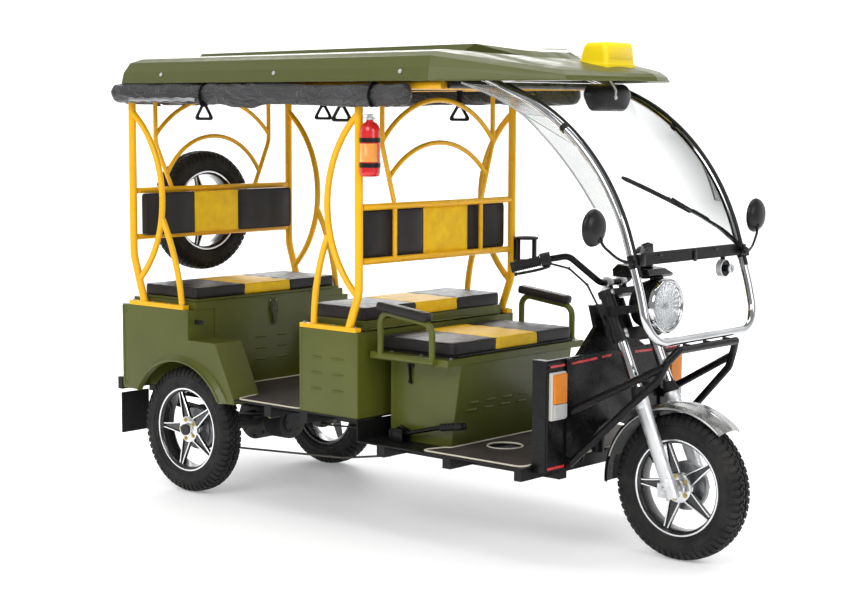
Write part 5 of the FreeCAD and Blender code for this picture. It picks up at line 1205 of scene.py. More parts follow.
# facets: the bowl's radius and angle stepped
v, f = [], []
nr, na = 7, 20
for i in range(nr + 1):
    r = 0.013 + (0.0785 - 0.013) * i / nr
    d = -0.0095 + (0.0085 * (i / nr) ** 2)
    for k in range(na * 3):
        a = 2 * math.pi * k / (na * 3)
        dip = 0.0016 * math.sin(math.pi * ((k % 3) / 3.0)) * (i / nr)
        v.append((H.x + d - dip, H.y + r * math.cos(a), H.z + r * math.sin(a)))
m = na * 3
for i in range(nr):
    for k in range(m):
        q = (k + 1) % m
        f.append((i * m + k, i * m + q, i * m + m + q, i * m + m + k))
make("headlight_reflector", v, f, reflector, "steering", "chrome", angle=8)
s = Soup()
s.add(*lathe([(0, 0.0), (0.010, 0.0), (0.0125, 0.0015), (0.0125, 0.003), (0.0072, 0.0045), (0.0058, 0.0075), (0, 0.0085)], H + Vector((-0.0100, 0, 0)), (1, 0, 0), 24))
s.object("headlight_bulb", white_lens, "steering", "lamp_glass")
prof = [(0.0, 0.0066), (0.020, 0.0060), (0.040, 0.0044), (0.058, 0.0020), (0.070, -0.0006), (0.0782, -0.0030), (0.0782, -0.0042), (0.070, -0.0018), (0.058, 0.0008), (0.040, 0.0032), (0.020, 0.0048), (0.0, 0.0054)]
o = make("headlight_glass", *lathe(prof, H, (1, 0, 0), 64), lens, "steering", "lamp_glass", angle=60)
clean(o)
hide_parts("headlight_lens")
# black rim on the bowl's back, adjusting screws and side bolts
s = Soup()
s.add(*lathe([(0.0926, -0.052), (0.0936, -0.050), (0.0936, -0.044), (0.0926, -0.042)], H, (1, 0, 0), 64, True))
s.object("headlight_band", black, "steering", "black_metal")
bolts("headlight_bolts", [((1.004, sg * 0.1235, 0.857), (0, sg, 0)) for sg in (-1, 1)] + [((0.952, sg * 0.1235, 0.842), (0, sg, 0)) for sg in (-1, 1)], "steering", frame_black, 0.0062, 0.004)

# instrument: glass dial sunk in the hood, with a red needle
s = Soup()
D0 = Vector((0.925, 0, 0.9855))
dn = Vector((-0.10, 0, 1)).normalized()
s.add(*lathe([(0.0, 0.0005), (0.036, 0.0005), (0.036, 0.0052), (0.0395, 0.0066), (0.043, 0.0052), (0.0445, -0.002), (0.040, -0.002)], D0, dn, 48))
s.object("dial_bezel", dark_plastic, "steering", "black_plastic")
make("dial_face", *lathe([(0, 0.0012), (0.0345, 0.0012), (0.0345, 0.002), (0, 0.002)], D0, dn, 40), plastic("dial_ivory", (0.52, 0.53, 0.50), 0.4, 900, 0.03), "steering", "black_plastic")
make("dial_glass", *lathe([(0, 0.0040), (0.0352, 0.0036), (0.0352, 0.0044), (0, 0.0052)], D0, dn, 40), glass, "steering", "lamp_glass")
s = Soup()
s.add(*sweep([D0 + dn * 0.0026, D0 + dn * 0.0026 + Vector((0.018, 0.012, 0.0018))], 0.0009, 6))
s.object("dial_needle", red, "steering", "black_plastic")

# fork: bright slider tubes, seals, springs covers, axle nuts and pinch bolts
s, sealr, low = Soup(), Soup(), Soup()
for sg in (-1, 1):
    c = stem(0, 0.035, sg * 0.094)
    s.add(*lathe([(0.0183, 0.332), (0.0186, 0.334), (0.0186, 0.548), (0.0183, 0.550)], c, AX, 36, True))
    sealr.add(*lathe([(0.0186, 0.330), (0.0262, 0.330), (0.0268, 0.334), (0.0268, 0.346), (0.0235, 0.352), (0.0225, 0.362), (0.0186, 0.366)], c, AX, 36, True))
    low.add(*lathe([(0.0241, 0.296), (0.0262, 0.300), (0.0266, 0.312), (0.0266, 0.326), (0.0250, 0.330), (0.0241, 0.331)], c, AX, 36, True))
    low.add(*lathe([(0.0241, 0.020), (0.0256, 0.024), (0.0256, 0.040), (0.0241, 0.044)], c, AX, 36, True))
s.object("fork_tubes_bright", chrome, "steering", "chrome")
sealr.object("fork_seals", rubber, "steering", "black_rubber")
low.object("fork_collars", silver, "steering", "fork_silver")
s = Soup()
for sg in (-1, 1):
    for q in (0.545, 0.560, 0.700):
        b = bolt(stem(q, 0.064 if q < 0.65 else 0.0625, sg * 0.094), FW, 0.0062, 0.0045)
        s.add(b.v, b.f)
    b = bolt(Vector((1.110, sg * 0.1235, 0.250)), (0, sg, 0), 0.0085, 0.006)
    s.add(b.v, b.f)
    b = bolt(stem(0.715, 0.035, sg * 0.094), AX, 0.011, 0.008)
    s.add(b.v, b.f)
s.object("fork_fasteners", silver, "steering", "fork_silver", angle=30)

# mudguard: rolled edges, screws to the fork and a black flap behind
A0 = Vector((1.110, 0, 0.250))
s = Soup()
for sg in (-1, 1):
    run = [A0 + Vector((0.2712 * math.cos(t), sg * 0.0612, 0.2712 * math.sin(t))) for t in [math.radians(50 + 113 * k / 40) for k in range(41)]]
    s.add(*sweep(run, 0.0034, 8))
s.object("mudguard_beads", steel, "steering", "chrome")
s = Soup()
run = [A0 + Vector((0.2884 * math.cos(t), 0, 0.2884 * math.sin(t))) for t in [math.radians(50 + 113 * k / 40) for k in range(41)]]
s.add(*sweep(run, 0.0016, 8, shape=[(-0.6, -6), (1.0, -3.5), (1.0, 3.5), (-0.6, 6)]))
s.object("mudguard_rib", guard_metal, "steering", "chrome", angle=60)
spots = []
for sg in (-1, 1):
    for dz in (-0.008, -0.020):
        p = stem(0.300, 0.035)
        spots.append(((p.x, sg * 0.0625, p.z + dz), (0, -sg, 0)))
bolts("mudguard_screws", spots, "steering", zinc, 0.0048, 0.0032)
# rubber skirt over the guard's rear end
v, f = [], []
rows = [math.radians(140 + 42.5 * k / 16) for k in range(17)]
cols = [-0.0595, -0.048, -0.02, 0.02, 0.048, 0.0595]
drop = [0.0165, 0.0062, 0.0, 0.0, 0.0062, 0.0165]
for lay in (0.0, 0.0022):
    for t in rows:
        for y, d in zip(cols, drop):
            r = 0.2912 + lay - d * 0.95 + (0.0015 if t > math.radians(163) else 0.0)
            v.append(A0 + Vector((r * math.cos(t), y * 1.01, r * math.sin(t))))
nc, nrw = len(cols), len(rows)
for lay in range(2):
    o0 = lay * nc * nrw
    for i in range(nrw - 1):
        for k in range(nc - 1):
            q = (o0 + i * nc + k, o0 + i * nc + k + 1, o0 + i * nc + nc + k + 1, o0 + i * nc + nc + k)
            f.append(q if lay else tuple(reversed(q)))
edge = [k for k in range(nc)] + [i * nc + nc - 1 for i in range(1, nrw)] + [(nrw - 1) * nc + k for k in range(nc - 2, -1, -1)] + [i * nc for i in range(nrw - 2, 0, -1)]
for a, b in zip(edge, edge[1:] + edge[:1]):
    f.append((a, b, b + nc * nrw, a + nc * nrw))
clean(make("mudguard_skirt", v, f, rubber, "steering", "black_rubber", angle=50))
# a thin black sheet laid just inside the guard, from its top back to its rear end
rows = [math.radians(92 + 73 * k / 30) for k in range(31)]
cols = [-0.0606, -0.0494, -0.025, 0.0, 0.025, 0.0494, 0.0606]
drop = [0.0172, 0.0052, 0.0026, 0.0, 0.0026, 0.0052, 0.0172]
v, f = [], []
for lay in (0.0, 0.0009):
    for t in rows:
        for y, d in zip(cols, drop):
            v.append(A0 + Vector(((0.2840 - lay - d) * math.cos(t), y * (1 - lay), (0.2840 - lay - d) * math.sin(t))))
nc, nrw = len(cols), len(rows)
for lay in range(2):
    for i in range(nrw - 1):
        for k in range(nc - 1):
            o0 = lay * nc * nrw + i * nc + k
            q = (o0, o0 + 1, o0 + nc + 1, o0 + nc)
            f.append(tuple(reversed(q)) if lay else q)
edge = [k for k in range(nc)] + [i * nc + nc - 1 for i in range(1, nrw)] + [(nrw - 1) * nc + k for k in range(nc - 2, -1, -1)] + [i * nc for i in range(nrw - 2, 0, -1)]
for a, b in zip(edge, edge[1:] + edge[:1]):
    f.append((b, a, a + nc * nrw, b + nc * nrw))
clean(make("mudguard_inner_black_sheet", v, f, frame_black, "steering", "black_rubber", angle=50))

# handlebar: ribbed grips, switch pods with buttons, levers, clamp caps
HB = [Vector(p) for p in ((0.662, 0.364, 0.989), (0.742, 0.300, 1.014))]
gd = (HB[1] - HB[0]).normalized()
grip_s, pod_s, but_s, red_s, lev_s = Soup(), Soup(), Soup(), Soup(), Soup()
for sg in (1, -1):
    k = lambda p: Vector((p.x, p.y * sg, p.z))
    d = Vector((gd.x, gd.y * sg, gd.z))
    o0 = k(HB[0])
    prof = [(0.0, -0.0075), (0.0150, -0.0075), (0.0184, -0.0050), (0.0186, 0.000), (0.0170, 0.003)]
    for i in range(11):
        h = 0.006 + i * 0.0076
        prof += [(0.0158, h), (0.0172, h + 0.0014), (0.0172, h + 0.0048), (0.0158, h + 0.0062)]
    prof += [(0.0176, 0.0895), (0.0192, 0.0905), (0.0192, 0.0935), (0.0, 0.0935)]
    grip_s.add(*lathe(prof, o0, d, 32))
    a, u, w = basis(d)
    m = Matrix((a, u, w)).transposed()
    c = o0 + d * 0.112
    pv, pf = slab((-0.0175, -0.021, -0.0200), (0.0175, 0.021, 0.0200), 0.006, 3)
    pod_s.add([c + m @ Vector(q) for q in pv], pf)
    pv, pf = slab((-0.0182, 0.0155, -0.008), (0.0182, 0.0235, 0.008), 0.003, 2)
    pod_s.add([c + m @ Vector(q) for q in pv], pf)
    for j, (e, tgt) in enumerate(((-0.008, but_s), (0.008, red_s))):
        tgt.add(*lathe([(0, 0), (0.0042, 0), (0.0042, 0.0042), (0.0032, 0.0052), (0, 0.0054)], c + d * e + Vector((-0.0196, 0, 0.002)), (-1, 0, 0.1), 16))
    lev = round_path([k(Vector(p)) for p in ((0.752, 0.292, 1.007), (0.770, 0.302, 0.995), (0.752, 0.331, 0.985), (0.724, 0.357, 0.977), (0.697, 0.385, 0.970))], 0.02)
    n = len(lev)
    lev_s.add(*sweep(lev, 0.0050, 12, shape=[(0.62 * math.cos(2 * math.pi * i / 12), 1.0 * math.sin(2 * math.pi * i / 12)) for i in range(12)],
                     taper=[1.1] * (n - 3) + [1.05, 1.2, 1.0]))
    lev_s.add(*lathe([(0, -0.001), (0.0058, 0.000), (0.0070, 0.004), (0.0058, 0.0095), (0, 0.0100)], k(Vector((0.697, 0.385, 0.970))), k(Vector((-0.7, 0.7, -0.2))), 16))
    b = bolt(k(Vector((0.757, 0.2930, 1.011))), (0, 0, 1), 0.005, 0.004)
    lev_s.add(b.v, b.f)
g = grip_s.object("handle_grips", rubber, "steering", "black_rubber", angle=28)
clean(g)
pod_s.object("switch_pods", dark_plastic, "steering", "black_plastic")
but_s.object("switch_buttons", white_label, "steering", "black_plastic")
red_s.object("stop_buttons", red, "steering", "black_plastic")
lv = lev_s.object("brake_levers", dark_plastic, "steering", "black_plastic")
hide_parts("hand_controls")
s = Soup()
cp = stem(0.690 + 0.054, 0.016)
for sg in (1, -1):
    s.add(*lathe([(0.0112, -0.0135), (0.0172, -0.0135), (0.0178, -0.011), (0.0178, 0.011), (0.0172, 0.0135), (0.0112, 0.0135)], Vector((cp.x, sg * 0.040, cp.z)), (0, 1, 0), 32, True))
    for e in (-0.008, 0.008):
        b = bolt(Vector((cp.x, sg * 0.040 + e, cp.z)) + AX * 0.017, AX, 0.0042, 0.004)
        s.add(b.v, b.f)
s.object("bar_clamps", silver, "steering", "fork_silver", angle=30)

# cables: held along the bar by ties
s = Soup()
for sg in (1, -1):
    for p, d in (((0.800, 0.236, 0.985), (0.5, -0.45, -0.3)), ((0.842, 0.190, 0.930), (0.4, -0.45, -0.7)), ((0.860, 0.153, 0.858), (0.1, -0.3, -0.9))):
        s.add(*lathe([(0.0036, -0.003), (0.0052, -0.003), (0.0052, 0.003), (0.0036, 0.003)], Vector((p[0], p[1] * sg, p[2])), Vector((d[0], d[1] * sg, d[2])), 16, True))
s.object("cable_ties", dark_plastic, "steering", "black_plastic")


# ------------------------------------------------------------------ rolled curtains under the roof's edge
def curtain_roll(name, p0, p1, half_w, half_h, straps, seed, bundle=(), n=260, m=44):
    """A tied roll of coated cloth: lap edge, pinched at the straps, wrinkled between them."""
    p0, p1 = Vector(p0), Vector(p1)
    d = p1 - p0
    L = d.length
    d.normalize()
    up = Vector((0, 0, 1))
    side = d.cross(up)
    v, f = [], []
    for i in range(n + 1):
        x = L * i / n
        e = min(x, L - x)
        cap = math.sqrt(max(0.0, 1 - (1 - min(1.0, e / 0.030 + 0.02)) ** 2))
        pinch = 1 - sum(0.17 * math.exp(-((x - q) / 0.013) ** 2) for q in straps)
        near = max([math.exp(-abs(x - q) / 0.09) for q in straps] + [0.25])
        sag = 0.004 * math.sin(3.1 * x + seed) + 0.003 * math.sin(7.7 * x + 2 * seed)
        lump = sum(math.exp(-((x - q) / 0.050) ** 2) for q in bundle)
        for k in range(m):
            a = 2 * math.pi * k / m
            w = 0.030 * math.sin(3 * a + 8.3 * x + seed) + 0.030 * math.sin(2 * a - 21 * x + 2.1 * math.sin(5 * x + seed))
            w -= 0.055 * max(0.0, 1 - abs(math.sin(1.5 * a + 6.2 * x + 1.3 * math.sin(4.1 * x + seed))) * 5)
            w -= 0.050 * max(0.0, 1 - abs(math.sin(2 * a - 12.7 * x + 1.7 * math.sin(6.3 * x))) * 6) * near * 2
            w += near * (0.040 * math.sin(7 * a + 3 * math.sin(17 * x)) + 0.026 * math.sin(11 * a - 38 * x + seed))
            w += 0.016 * math.sin(5 * a + 61 * x + 3 * math.sin(9 * x)) + lump * (0.10 * max(0.0, -math.sin(a)) + 0.05 * math.sin(6 * a + 70 * x))
            lap = 0.055 * (((a - 3.75) / (2 * math.pi)) % 1.0)
            r = (0.905 + w * 1.25 + lap) * pinch * cap
            v.append(p0 + d * x + side * (half_w * r * math.cos(a)) + up * (half_h * r * math.sin(a) * (1 + 0.10 * lump) + sag - 0.004 * lump))
    for i in range(n):
        for k in range(m):
            q = (k + 1) % m
            f.append((i * m + k, i * m + q, i * m + m + q, i * m + m + k))
    f += [tuple(reversed(range(m))), tuple(n * m + k for k in range(m))]
    o = make(name, v, f, curtain, "chassis", "curtain", angle=50)
    return o


def roll_straps(name, p0, p1, half_w, half_h, spots, look=None):
    p0, p1 = Vector(p0), Vector(p1)
    d = (p1 - p0).normalized()
    side = d.cross(Vector((0, 0, 1)))
    s = Soup()
    for q in spots:
        ring = [p0 + d * (q + 0.0022 * math.sin(3 * t)) + side * (half_w * 0.83 * math.cos(t)) + Vector((0, 0, half_h * 0.83 * math.sin(t))) for t in [2 * math.pi * k / 40 for k in range(40)]]
        s.add(*sweep(ring, 0.0012, closed=True, shape=[(-1, -9), (1, -9), (1, 9), (-1, 9)]))
        e = p0 + d * q + side * (half_w * 0.80) * (1 if p0.y < 0 and abs(d.y) < 0.5 else -1)
        s.add(*sweep([e + Vector((0, 0, -0.020)), e + Vector((0.004, 0, -0.034)), e + Vector((0.010, 0, -0.046))], 0.0011, shape=[(-1, -7), (1, -7), (1, 7), (-1, 7)]))
    return s.object(name, look or dark_plastic, "chassis", "curtain", angle=40)


right_roll = curtain_roll("curtain_roll_right", (-1.290, -0.478, 1.566), (0.300, -0.478, 1.566), 0.0285, 0.0405, (0.544, 1.421), 0.7, (0.72, 0.80))
left_roll = curtain_roll("curtain_roll_left", (-1.290, 0.478, 1.566), (0.300, 0.478, 1.566), 0.0285, 0.0405, (0.56, 1.40), 2.9)
rear_roll = curtain_roll("curtain_roll_rear", (-1.280, -0.446, 1.567), (-1.280, 0.446, 1.567), 0.0225, 0.0385, (0.20, 0.69), 4.4)
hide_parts("curtain_rolls")
roll_straps("curtain_straps_right", (-1.290, -0.478, 1.566), (0.300, -0.478, 1.566), 0.0285, 0.0405, (0.544, 1.421))
roll_straps("curtain_straps_left", (-1.290, 0.478, 1.566), (0.300, 0.478, 1.566), 0.0285, 0.0405, (0.56, 1.40))
roll_straps("curtain_straps_rear", (-1.280, -0.446, 1.567), (-1.280, 0.446, 1.567), 0.0225, 0.0385, (0.20, 0.69))
# edge of the clear window rolled in with the cloth
pane = Look("rolled_clear_pane", (0.42, 0.43, 0.44), 0.16, 0.0, Coat_Weight=0.6)
pane.colour(pane.mix(pane.ramp(pane.noise(30, 4.0, vec=pane.coord((0.4, 1, 3))), (0.35, 0.0), (0.65, 1.0)), (0.10, 0.105, 0.11), (0.34, 0.35, 0.36)))
pane.bump(pane.noise(30, 4.0, vec=pane.coord((0.4, 1, 3))), 0.6, 0.006)
s = Soup()
for x0, x1 in ((-1.165, -0.775),):
    n = 40
    run = [Vector((x0 + (x1 - x0) * k / n, -0.5045 + 0.0012 * math.sin(k * 1.7), 1.5465 + 0.0018 * math.sin(k * 0.9))) for k in range(n + 1)]
    s.add(*sweep(run, 0.0022, shape=[(-3.2, -0.6), (-1.5, 0.9), (1.5, 1.0), (3.2, -0.4), (0.0, -1.2)]))
s.object("curtain_window_edge", pane, "chassis", "clear_plastic", angle=50)

# ------------------------------------------------------------------ roof sign, drip edge and screws
def ring_loft(levels, corner, steps=5, up=(0, 0, 1), base=False):
    """Rounded four-sided rings one above the other: each is (x0, x1, half width, z)."""
    v, f = [], []
    m = 0
    for x0, x1, h, z in levels:
        pts = loop_path([(x0, -h, z), (x1, -h, z), (x1, h, z), (x0, h, z)], corner, steps)
        m = len(pts)
        v += pts
    for i in range(len(levels) - 1):
        for k in range(m):
            q = (k + 1) % m
            f.append((i * m + k, i * m + q, i * m + m + q, i * m + m + k))
    f += [tuple(reversed(range(m))), tuple((len(levels) - 1) * m + k for k in range(m))]
    return v, f


sign = make("roof_sign_shell", *ring_loft([(0.702, 0.838, 0.0865, 1.6560), (0.702, 0.838, 0.0865, 1.6660), (0.7100, 0.8335, 0.0845, 1.6690), (0.7165, 0.8315, 0.0835, 1.680),
                                           (0.7230, 0.8290, 0.0832, 1.705), (0.7300, 0.8265, 0.0828, 1.7260), (0.7345, 0.8240, 0.0805, 1.7350), (0.7420, 0.8195, 0.0755, 1.7405), (0.7520, 0.8120, 0.067, 1.7420)], 0.016),
            yellow_plastic, "chassis", "yellow_plastic", angle=32)
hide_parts("roof_sign")
s = Soup()
s.add(*slab((0.8275, -0.066, 1.684), (0.8312, 0.066, 1.724), 0.0016, 2, Matrix.Rotation(math.radians(-4.5), 3, "Y")))
s.object("roof_sign_blank", plastic("sign_blank_panel", (0.90, 0.66, 0.03), 0.26, 1200, 0.03, 0.05, Coat_Weight=0.2), "chassis", "yellow_plastic")
bolts("roof_screws", [((x, sg * 0.4885, 1.642), (0, sg, 0.3)) for sg in (-1, 1) for x in (-0.988, -0.36, 0.262)] + [((0.7075, y, 1.6665), (0, 0, 1)) for y in (-0.070, 0.070)], "chassis", silver, 0.0052, 0.0034)
# rolled drip edge along the roof's rim
s = Soup()
rim_half = [(-1.262, 0.0), (-1.262, 0.452), (-1.226, 0.490), (0.390, 0.490), (0.829, 0.300), (0.948, 0.118), (0.984, 0.0)]
run = [(x, y, 1.6125) for x, y in rim_half] + [(x, -y, 1.6125) for x, y in reversed(rim_half[1:-1])]
run = [Vector((x * 0.9985, y * 0.9955, z)) for x, y, z in run]
s.add(*sweep(loop_path(run, 0.05, 6), 0.0036, 10, True))
s.object("roof_drip_edge", green_roof, "chassis", "green_plastic")

# ------------------------------------------------------------------ arm rest pads
def pad_shape(sg):
    """A padded bar with rounded ends, sloping down to the front."""
    n, m = 40, 28
    a, b = Vector((0.084, sg * 0.402, 0.8185)), Vector((0.324, sg * 0.402, 0.7905))
    d = (b - a).normalized()
    side = Vector((0, 1, 0))
    up = side.cross(d) * -1
    if up.z < 0:
        up = -up
    v, f = [], []
    L = (b - a).length
    for i in range(n + 1):
        x = L * i / n
        e = min(x, L - x) / 0.014
        cap = (1 - (1 - min(1.0, e + 0.03)) ** 2.4) ** (1 / 2.4)
        crown = 1 + 0.03 * math.sin(math.pi * i / n)
        for k in range(m):
            t = 2 * math.pi * k / m
            c, q = math.cos(t), math.sin(t)
            c, q = math.copysign(abs(c) ** 0.50, c), math.copysign(abs(q) ** 0.55, q)
            h = 0.0185 if q > 0 else 0.0130
            v.append(a + d * x + side * (0.0235 * c * cap * crown) + up * (h * q * cap * crown))
    for i in range(n):
        for k in range(m):
            q = (k + 1) % m
            f.append((i * m + k, i * m + q, i * m + m + q, i * m + m + k))
    f += [tuple(reversed(range(m))), tuple(n * m + k for k in range(m))]
    return v, f


for sg, tag in ((-1, "right"), (1, "left")):
    o = make("arm_pad_" + tag, *pad_shape(sg), black_vinyl, "chassis", "vinyl", angle=60)
    if sg < 0:
        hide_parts("armrest_pads")
s = Soup()
for sg in (-1, 1):
    a, b = Vector((0.090, sg * 0.402, 0.808)), Vector((0.318, sg * 0.402, 0.7815))
    for e in (-0.0236, 0.0236):
        s.add(*sweep([a + Vector((0.006, e, 0)), b + Vector((-0.006, e, 0))], 0.0013, 6))
s.object("arm_pad_welts", thread, "chassis", "vinyl")

# ------------------------------------------------------------------ windscreen: edging, clips, wiper
def screen_at(t, y, off=0.0):
    """A point of the glass at the share t down its curve, off its outer face."""
    pts = SCREEN
    k = min(int(t * (len(pts) - 1)), len(pts) - 2)
    e = t * (len(pts) - 1) - k
    p = pts[k].lerp(pts[k + 1], e)
    d = (pts[k + 1] - pts[k]).normalized()
    n = Vector((-d.z, 0, d.x))
    return Vector((p.x, y, p.z)) + n * off


def arc_points(a, b, c, r, n):
    """Straight to the bend, round it with the radius r, straight on."""
    a, b, c = Vector(a), Vector(b), Vector(c)
    u, w = (a - b).normalized(), (c - b).normalized()
    half = u.angle(w) / 2
    tl = r / math.tan(half)
    p, q = b + u * tl, b + w * tl
    centre = b + (u + w).normalized() * (r / math.sin(half))
    e0, e1 = p - centre, q - centre
    ang = e0.angle(e1)
    axis = e0.cross(e1).normalized()
    out = [a.lerp(p, k / 6) for k in range(6)]
    out += [centre + Matrix.Rotation(ang * k / n, 3, axis) @ e0 for k in range(n + 1)]
    out += [q.lerp(c, k / 6) for k in range(1, 7)]
    return out


raw = arc_points((0.540, 0, 1.6058), (0.988, 0, 1.432), (1.131, 0, 0.990), 0.760, 40)
acc = [0.0]
for p, q in zip(raw, raw[1:]):
    acc.append(acc[-1] + (q - p).length)
SCREEN = []
for i in range(121):
    g = acc[-1] * i / 120
    k = max(j for j in range(len(acc) - 1) if acc[j] <= g + 1e-9)
    SCREEN.append(raw[k].lerp(raw[k + 1], min(1.0, (g - acc[k]) / max(1e-9, acc[k + 1] - acc[k]))))
s = Soup()
for sg in (-1, 1):
    s.add(*sweep([screen_at(t / 60, sg * 0.3085, 0.0) for t in range(0, 57)], 0.0030, shape=[(-1.3, -1.0), (1.3, -1.0), (1.3, 1.0), (-1.3, 1.0)]))
s.object("screen_edge_trim", dark_plastic, "chassis", "black_rubber", angle=40)
# rubber strip along the outside of the tube, and the clips that hold the glass
HOOP = arc_points((0.470, 0, 1.633), (0.988, 0, 1.432), (1.152, 0, 0.925), 0.760, 40)
s, c2 = Soup(), Soup()
for sg in (-1, 1):
    run = []
    for i, p in enumerate(HOOP[4:-2]):
        a, b = HOOP[4 + i - 1], HOOP[4 + i + 1]
        d = (b - a).normalized()
        n = Vector((-d.z, 0, d.x))
        run.append(Vector((p.x, sg * (0.322 - 0.0035), p.z)) + n * 0.0136)
    s.add(*sweep(run, 0.0032, shape=[(-0.9, -2.6), (0.9, -2.1), (0.9, 2.1), (-0.9, 2.6)]))
    for j in (19,):
        p = HOOP[j]
        d = (HOOP[j + 1] - HOOP[j - 1]).normalized()
        c2.add(*lathe([(0.0142, -0.009), (0.0166, -0.009), (0.0166, 0.009), (0.0142, 0.009)], Vector((p.x, sg * 0.322, p.z)), d, 24, True))
        n = Vector((-d.z, 0, d.x))
        pv, pf = slab((-0.008, -0.010, -0.0022), (0.008, 0.010, 0.0022), 0.0012, 2)
        m3 = Matrix((d, Vector((0, 1, 0)), n)).transposed()
        c2.add([Vector((p.x, sg * 0.304, p.z)) + n * 0.004 + m3 @ Vector(q) for q in pv], pf)
s.object("hoop_rubber_strip", rubber, "chassis", "black_rubber", angle=50)
c2.object("hoop_clips", dark_plastic, "chassis", "black_plastic", angle=40)
# lower corners: brackets that carry the bar and the mirrors
s = Soup()
for sg in (-1, 1):
    s.add(*lathe([(0.0142, -0.022), (0.0172, -0.022), (0.0172, 0.022), (0.0142, 0.022)], Vector((1.1205, sg * 0.322, 1.030)), Vector((0.31, 0, -0.95)), 28, True))
    s.add(*slab((1.1245, min(sg * 0.286, sg * 0.318), 1.018), (1.1455, max(sg * 0.286, sg * 0.318), 1.0555), 0.003))
s.object("bar_brackets", black, "chassis", "black_metal", angle=40)
s = Soup()
s.add(*slab((1.1415, -0.007, 1.0150), (1.1462, 0.009, 1.0580), 0.0016))
for y in (-0.20, 0.13):
    s.add(*slab((1.1412, y - 0.010, 1.0450), (1.1440, y + 0.010, 1.0585), 0.0012))
s.object("bar_fixings", dark_plastic, "chassis", "black_plastic")
s = Soup()
s.add(*sweep([(1.139, -0.300, 1.0552), (1.139, 0.300, 1.0552)], 0.0032, shape=[(-1, -2.4), (1.2, -1.4), (1.2, 1.4), (-1, 2.4)]))
s.object("bar_sealing_strip", rubber, "chassis", "black_rubber", angle=50)

# wiper: arm with a spring box, yoke and blade, over the CAD arm
s, b2 = Soup(), Soup()


def on_glass(y, z, off):
    """The point of the curved glass at this height and side, off its outer face."""
    best = min(range(len(SCREEN)), key=lambda k: abs(SCREEN[k].z - z))
    return screen_at(best / (len(SCREEN) - 1), y, off)


run = [on_glass(-0.231 + 0.394 * k / 24, 1.287 - 0.148 * k / 24, 0.0100) for k in range(25)]
b2.add(*sweep(run, 0.0044, shape=[(-1.6, -0.35), (-0.2, -1.3), (1.4, -0.9), (1.4, 0.9), (-0.2, 1.3), (-1.6, 0.35)], taper=[0.7] + [1.0] * 23 + [0.7]))
run2 = [on_glass(-0.231 + 0.394 * k / 24, 1.287 - 0.148 * k / 24, 0.0158) for k in range(3, 22)]
b2.add(*sweep(run2, 0.0028, shape=[(-0.9, -1.6), (0.9, -0.9), (0.9, 0.9), (-0.9, 1.6)], taper=[0.5] + [1.0] * 17 + [0.5]))
c = on_glass(-0.231 + 0.394 * 0.48, 1.287 - 0.148 * 0.48, 0.0165)
b2.add(*sweep([c.lerp(run[5], 0.30), c.lerp(run[8], 0.10), c, c.lerp(run[16], 0.12), c.lerp(run[19], 0.30)], 0.0065, 10, taper=[0.35, 0.9, 1.15, 0.9, 0.35]))
blade = b2.object("wiper_blade", rubber, "chassis", "black_rubber", angle=50)
arm = round_path([(1.0720, -0.034, 1.222), (1.1180, 0.2005, 1.1115), (1.1575, 0.290, 1.036)], 0.02, 6)
n = len(arm)
s.add(*sweep(arm, 0.0045, 10, shape=[(-1.0, -1.15), (1.0, -1.15), (1.0, 1.15), (-1.0, 1.15)], taper=[0.6] + [1.0 + 0.3 * k / n for k in range(1, n)]))
s.add(*lathe([(0, 0.0), (0.0125, 0.0), (0.0125, 0.010), (0.0105, 0.0135), (0, 0.0140)], Vector((1.1520, 0.290, 1.036)), (1, 0, 0), 28))
s.object("wiper_arm", black, "chassis", "black_metal", angle=40)

# side air deflectors: clear rounded rim
RIMP = [Vector(k) / 1000 for k in ((500, 444, 1602), (625, 430, 1560), (745, 420, 1501), (865, 400, 1385), (940, 380, 1289), (990, 356, 1200))]
rimlook = Look("deflector_edge", (0.50, 0.51, 0.50), 0.15, 0.0, Transmission_Weight=0.55, IOR=1.3)
rimlook.colour(rimlook.mix(rimlook.noise(25, 3.0), (0.30, 0.31, 0.30), (0.62, 0.63, 0.62)))
s = Soup()
pts = [Vector((p.x, p.y, p.z)) for p in RIMP]
s.add(*sweep(round_path(pts, 0.08, 6), 0.0034, 8))
s.mirrored(1)
s.object("deflector_rims", rimlook, "chassis", "clear_plastic")

# ------------------------------------------------------------------ mirrors
def shell_of(points, depth, centre, axis, look, name, glass_name, turn=0.0, face=1, glass_in=0.90):
    """A mirror: dished back shell and a glass set in its face; points is the outline in the face plane."""
    a, u, w = basis(axis)
    c = Vector(centre)
    m = len(points)
    rings = ((0.20, -1.0), (0.55, -0.93), (0.82, -0.68), (0.96, -0.30), (1.0, 0.0), (0.985, 0.10), (0.93, 0.12), (glass_in, 0.06))
    v, f = [], []
    for k, h in rings:
        v += [c + u * (q[1] * k) + w * (q[0] * k) + a * (h * depth) for q in points]
    v.append(c - a * depth * 1.02)
    for i in range(len(rings) - 1):
        for k in range(m):
            q = (k + 1) % m
            f.append((i * m + k, i * m + q, i * m + m + q, i * m + m + k))
    f += [(len(v) - 1, (k + 1) % m, k) for k in range(m)]
    f.append(tuple((len(rings) - 1) * m + k for k in range(m)))
    o = clean(make(name, v, f, look, "chassis", "black_plastic", angle=50))
    gv = [c + u * (q[1] * glass_in) + w * (q[0] * glass_in) + a * (0.070 * depth) for q in points]
    gv += [c + u * (q[1] * glass_in) + w * (q[0] * glass_in) + a * (0.085 * depth) for q in points]
    gf = [(k, (k + 1) % m, m + (k + 1) % m, m + k) for k in range(m)] + [tuple(m + k for k in range(m)), tuple(reversed(range(m)))]
    clean(make(glass_name, gv, gf, mirror_glass, "chassis", "lamp_glass", angle=40))
    return o


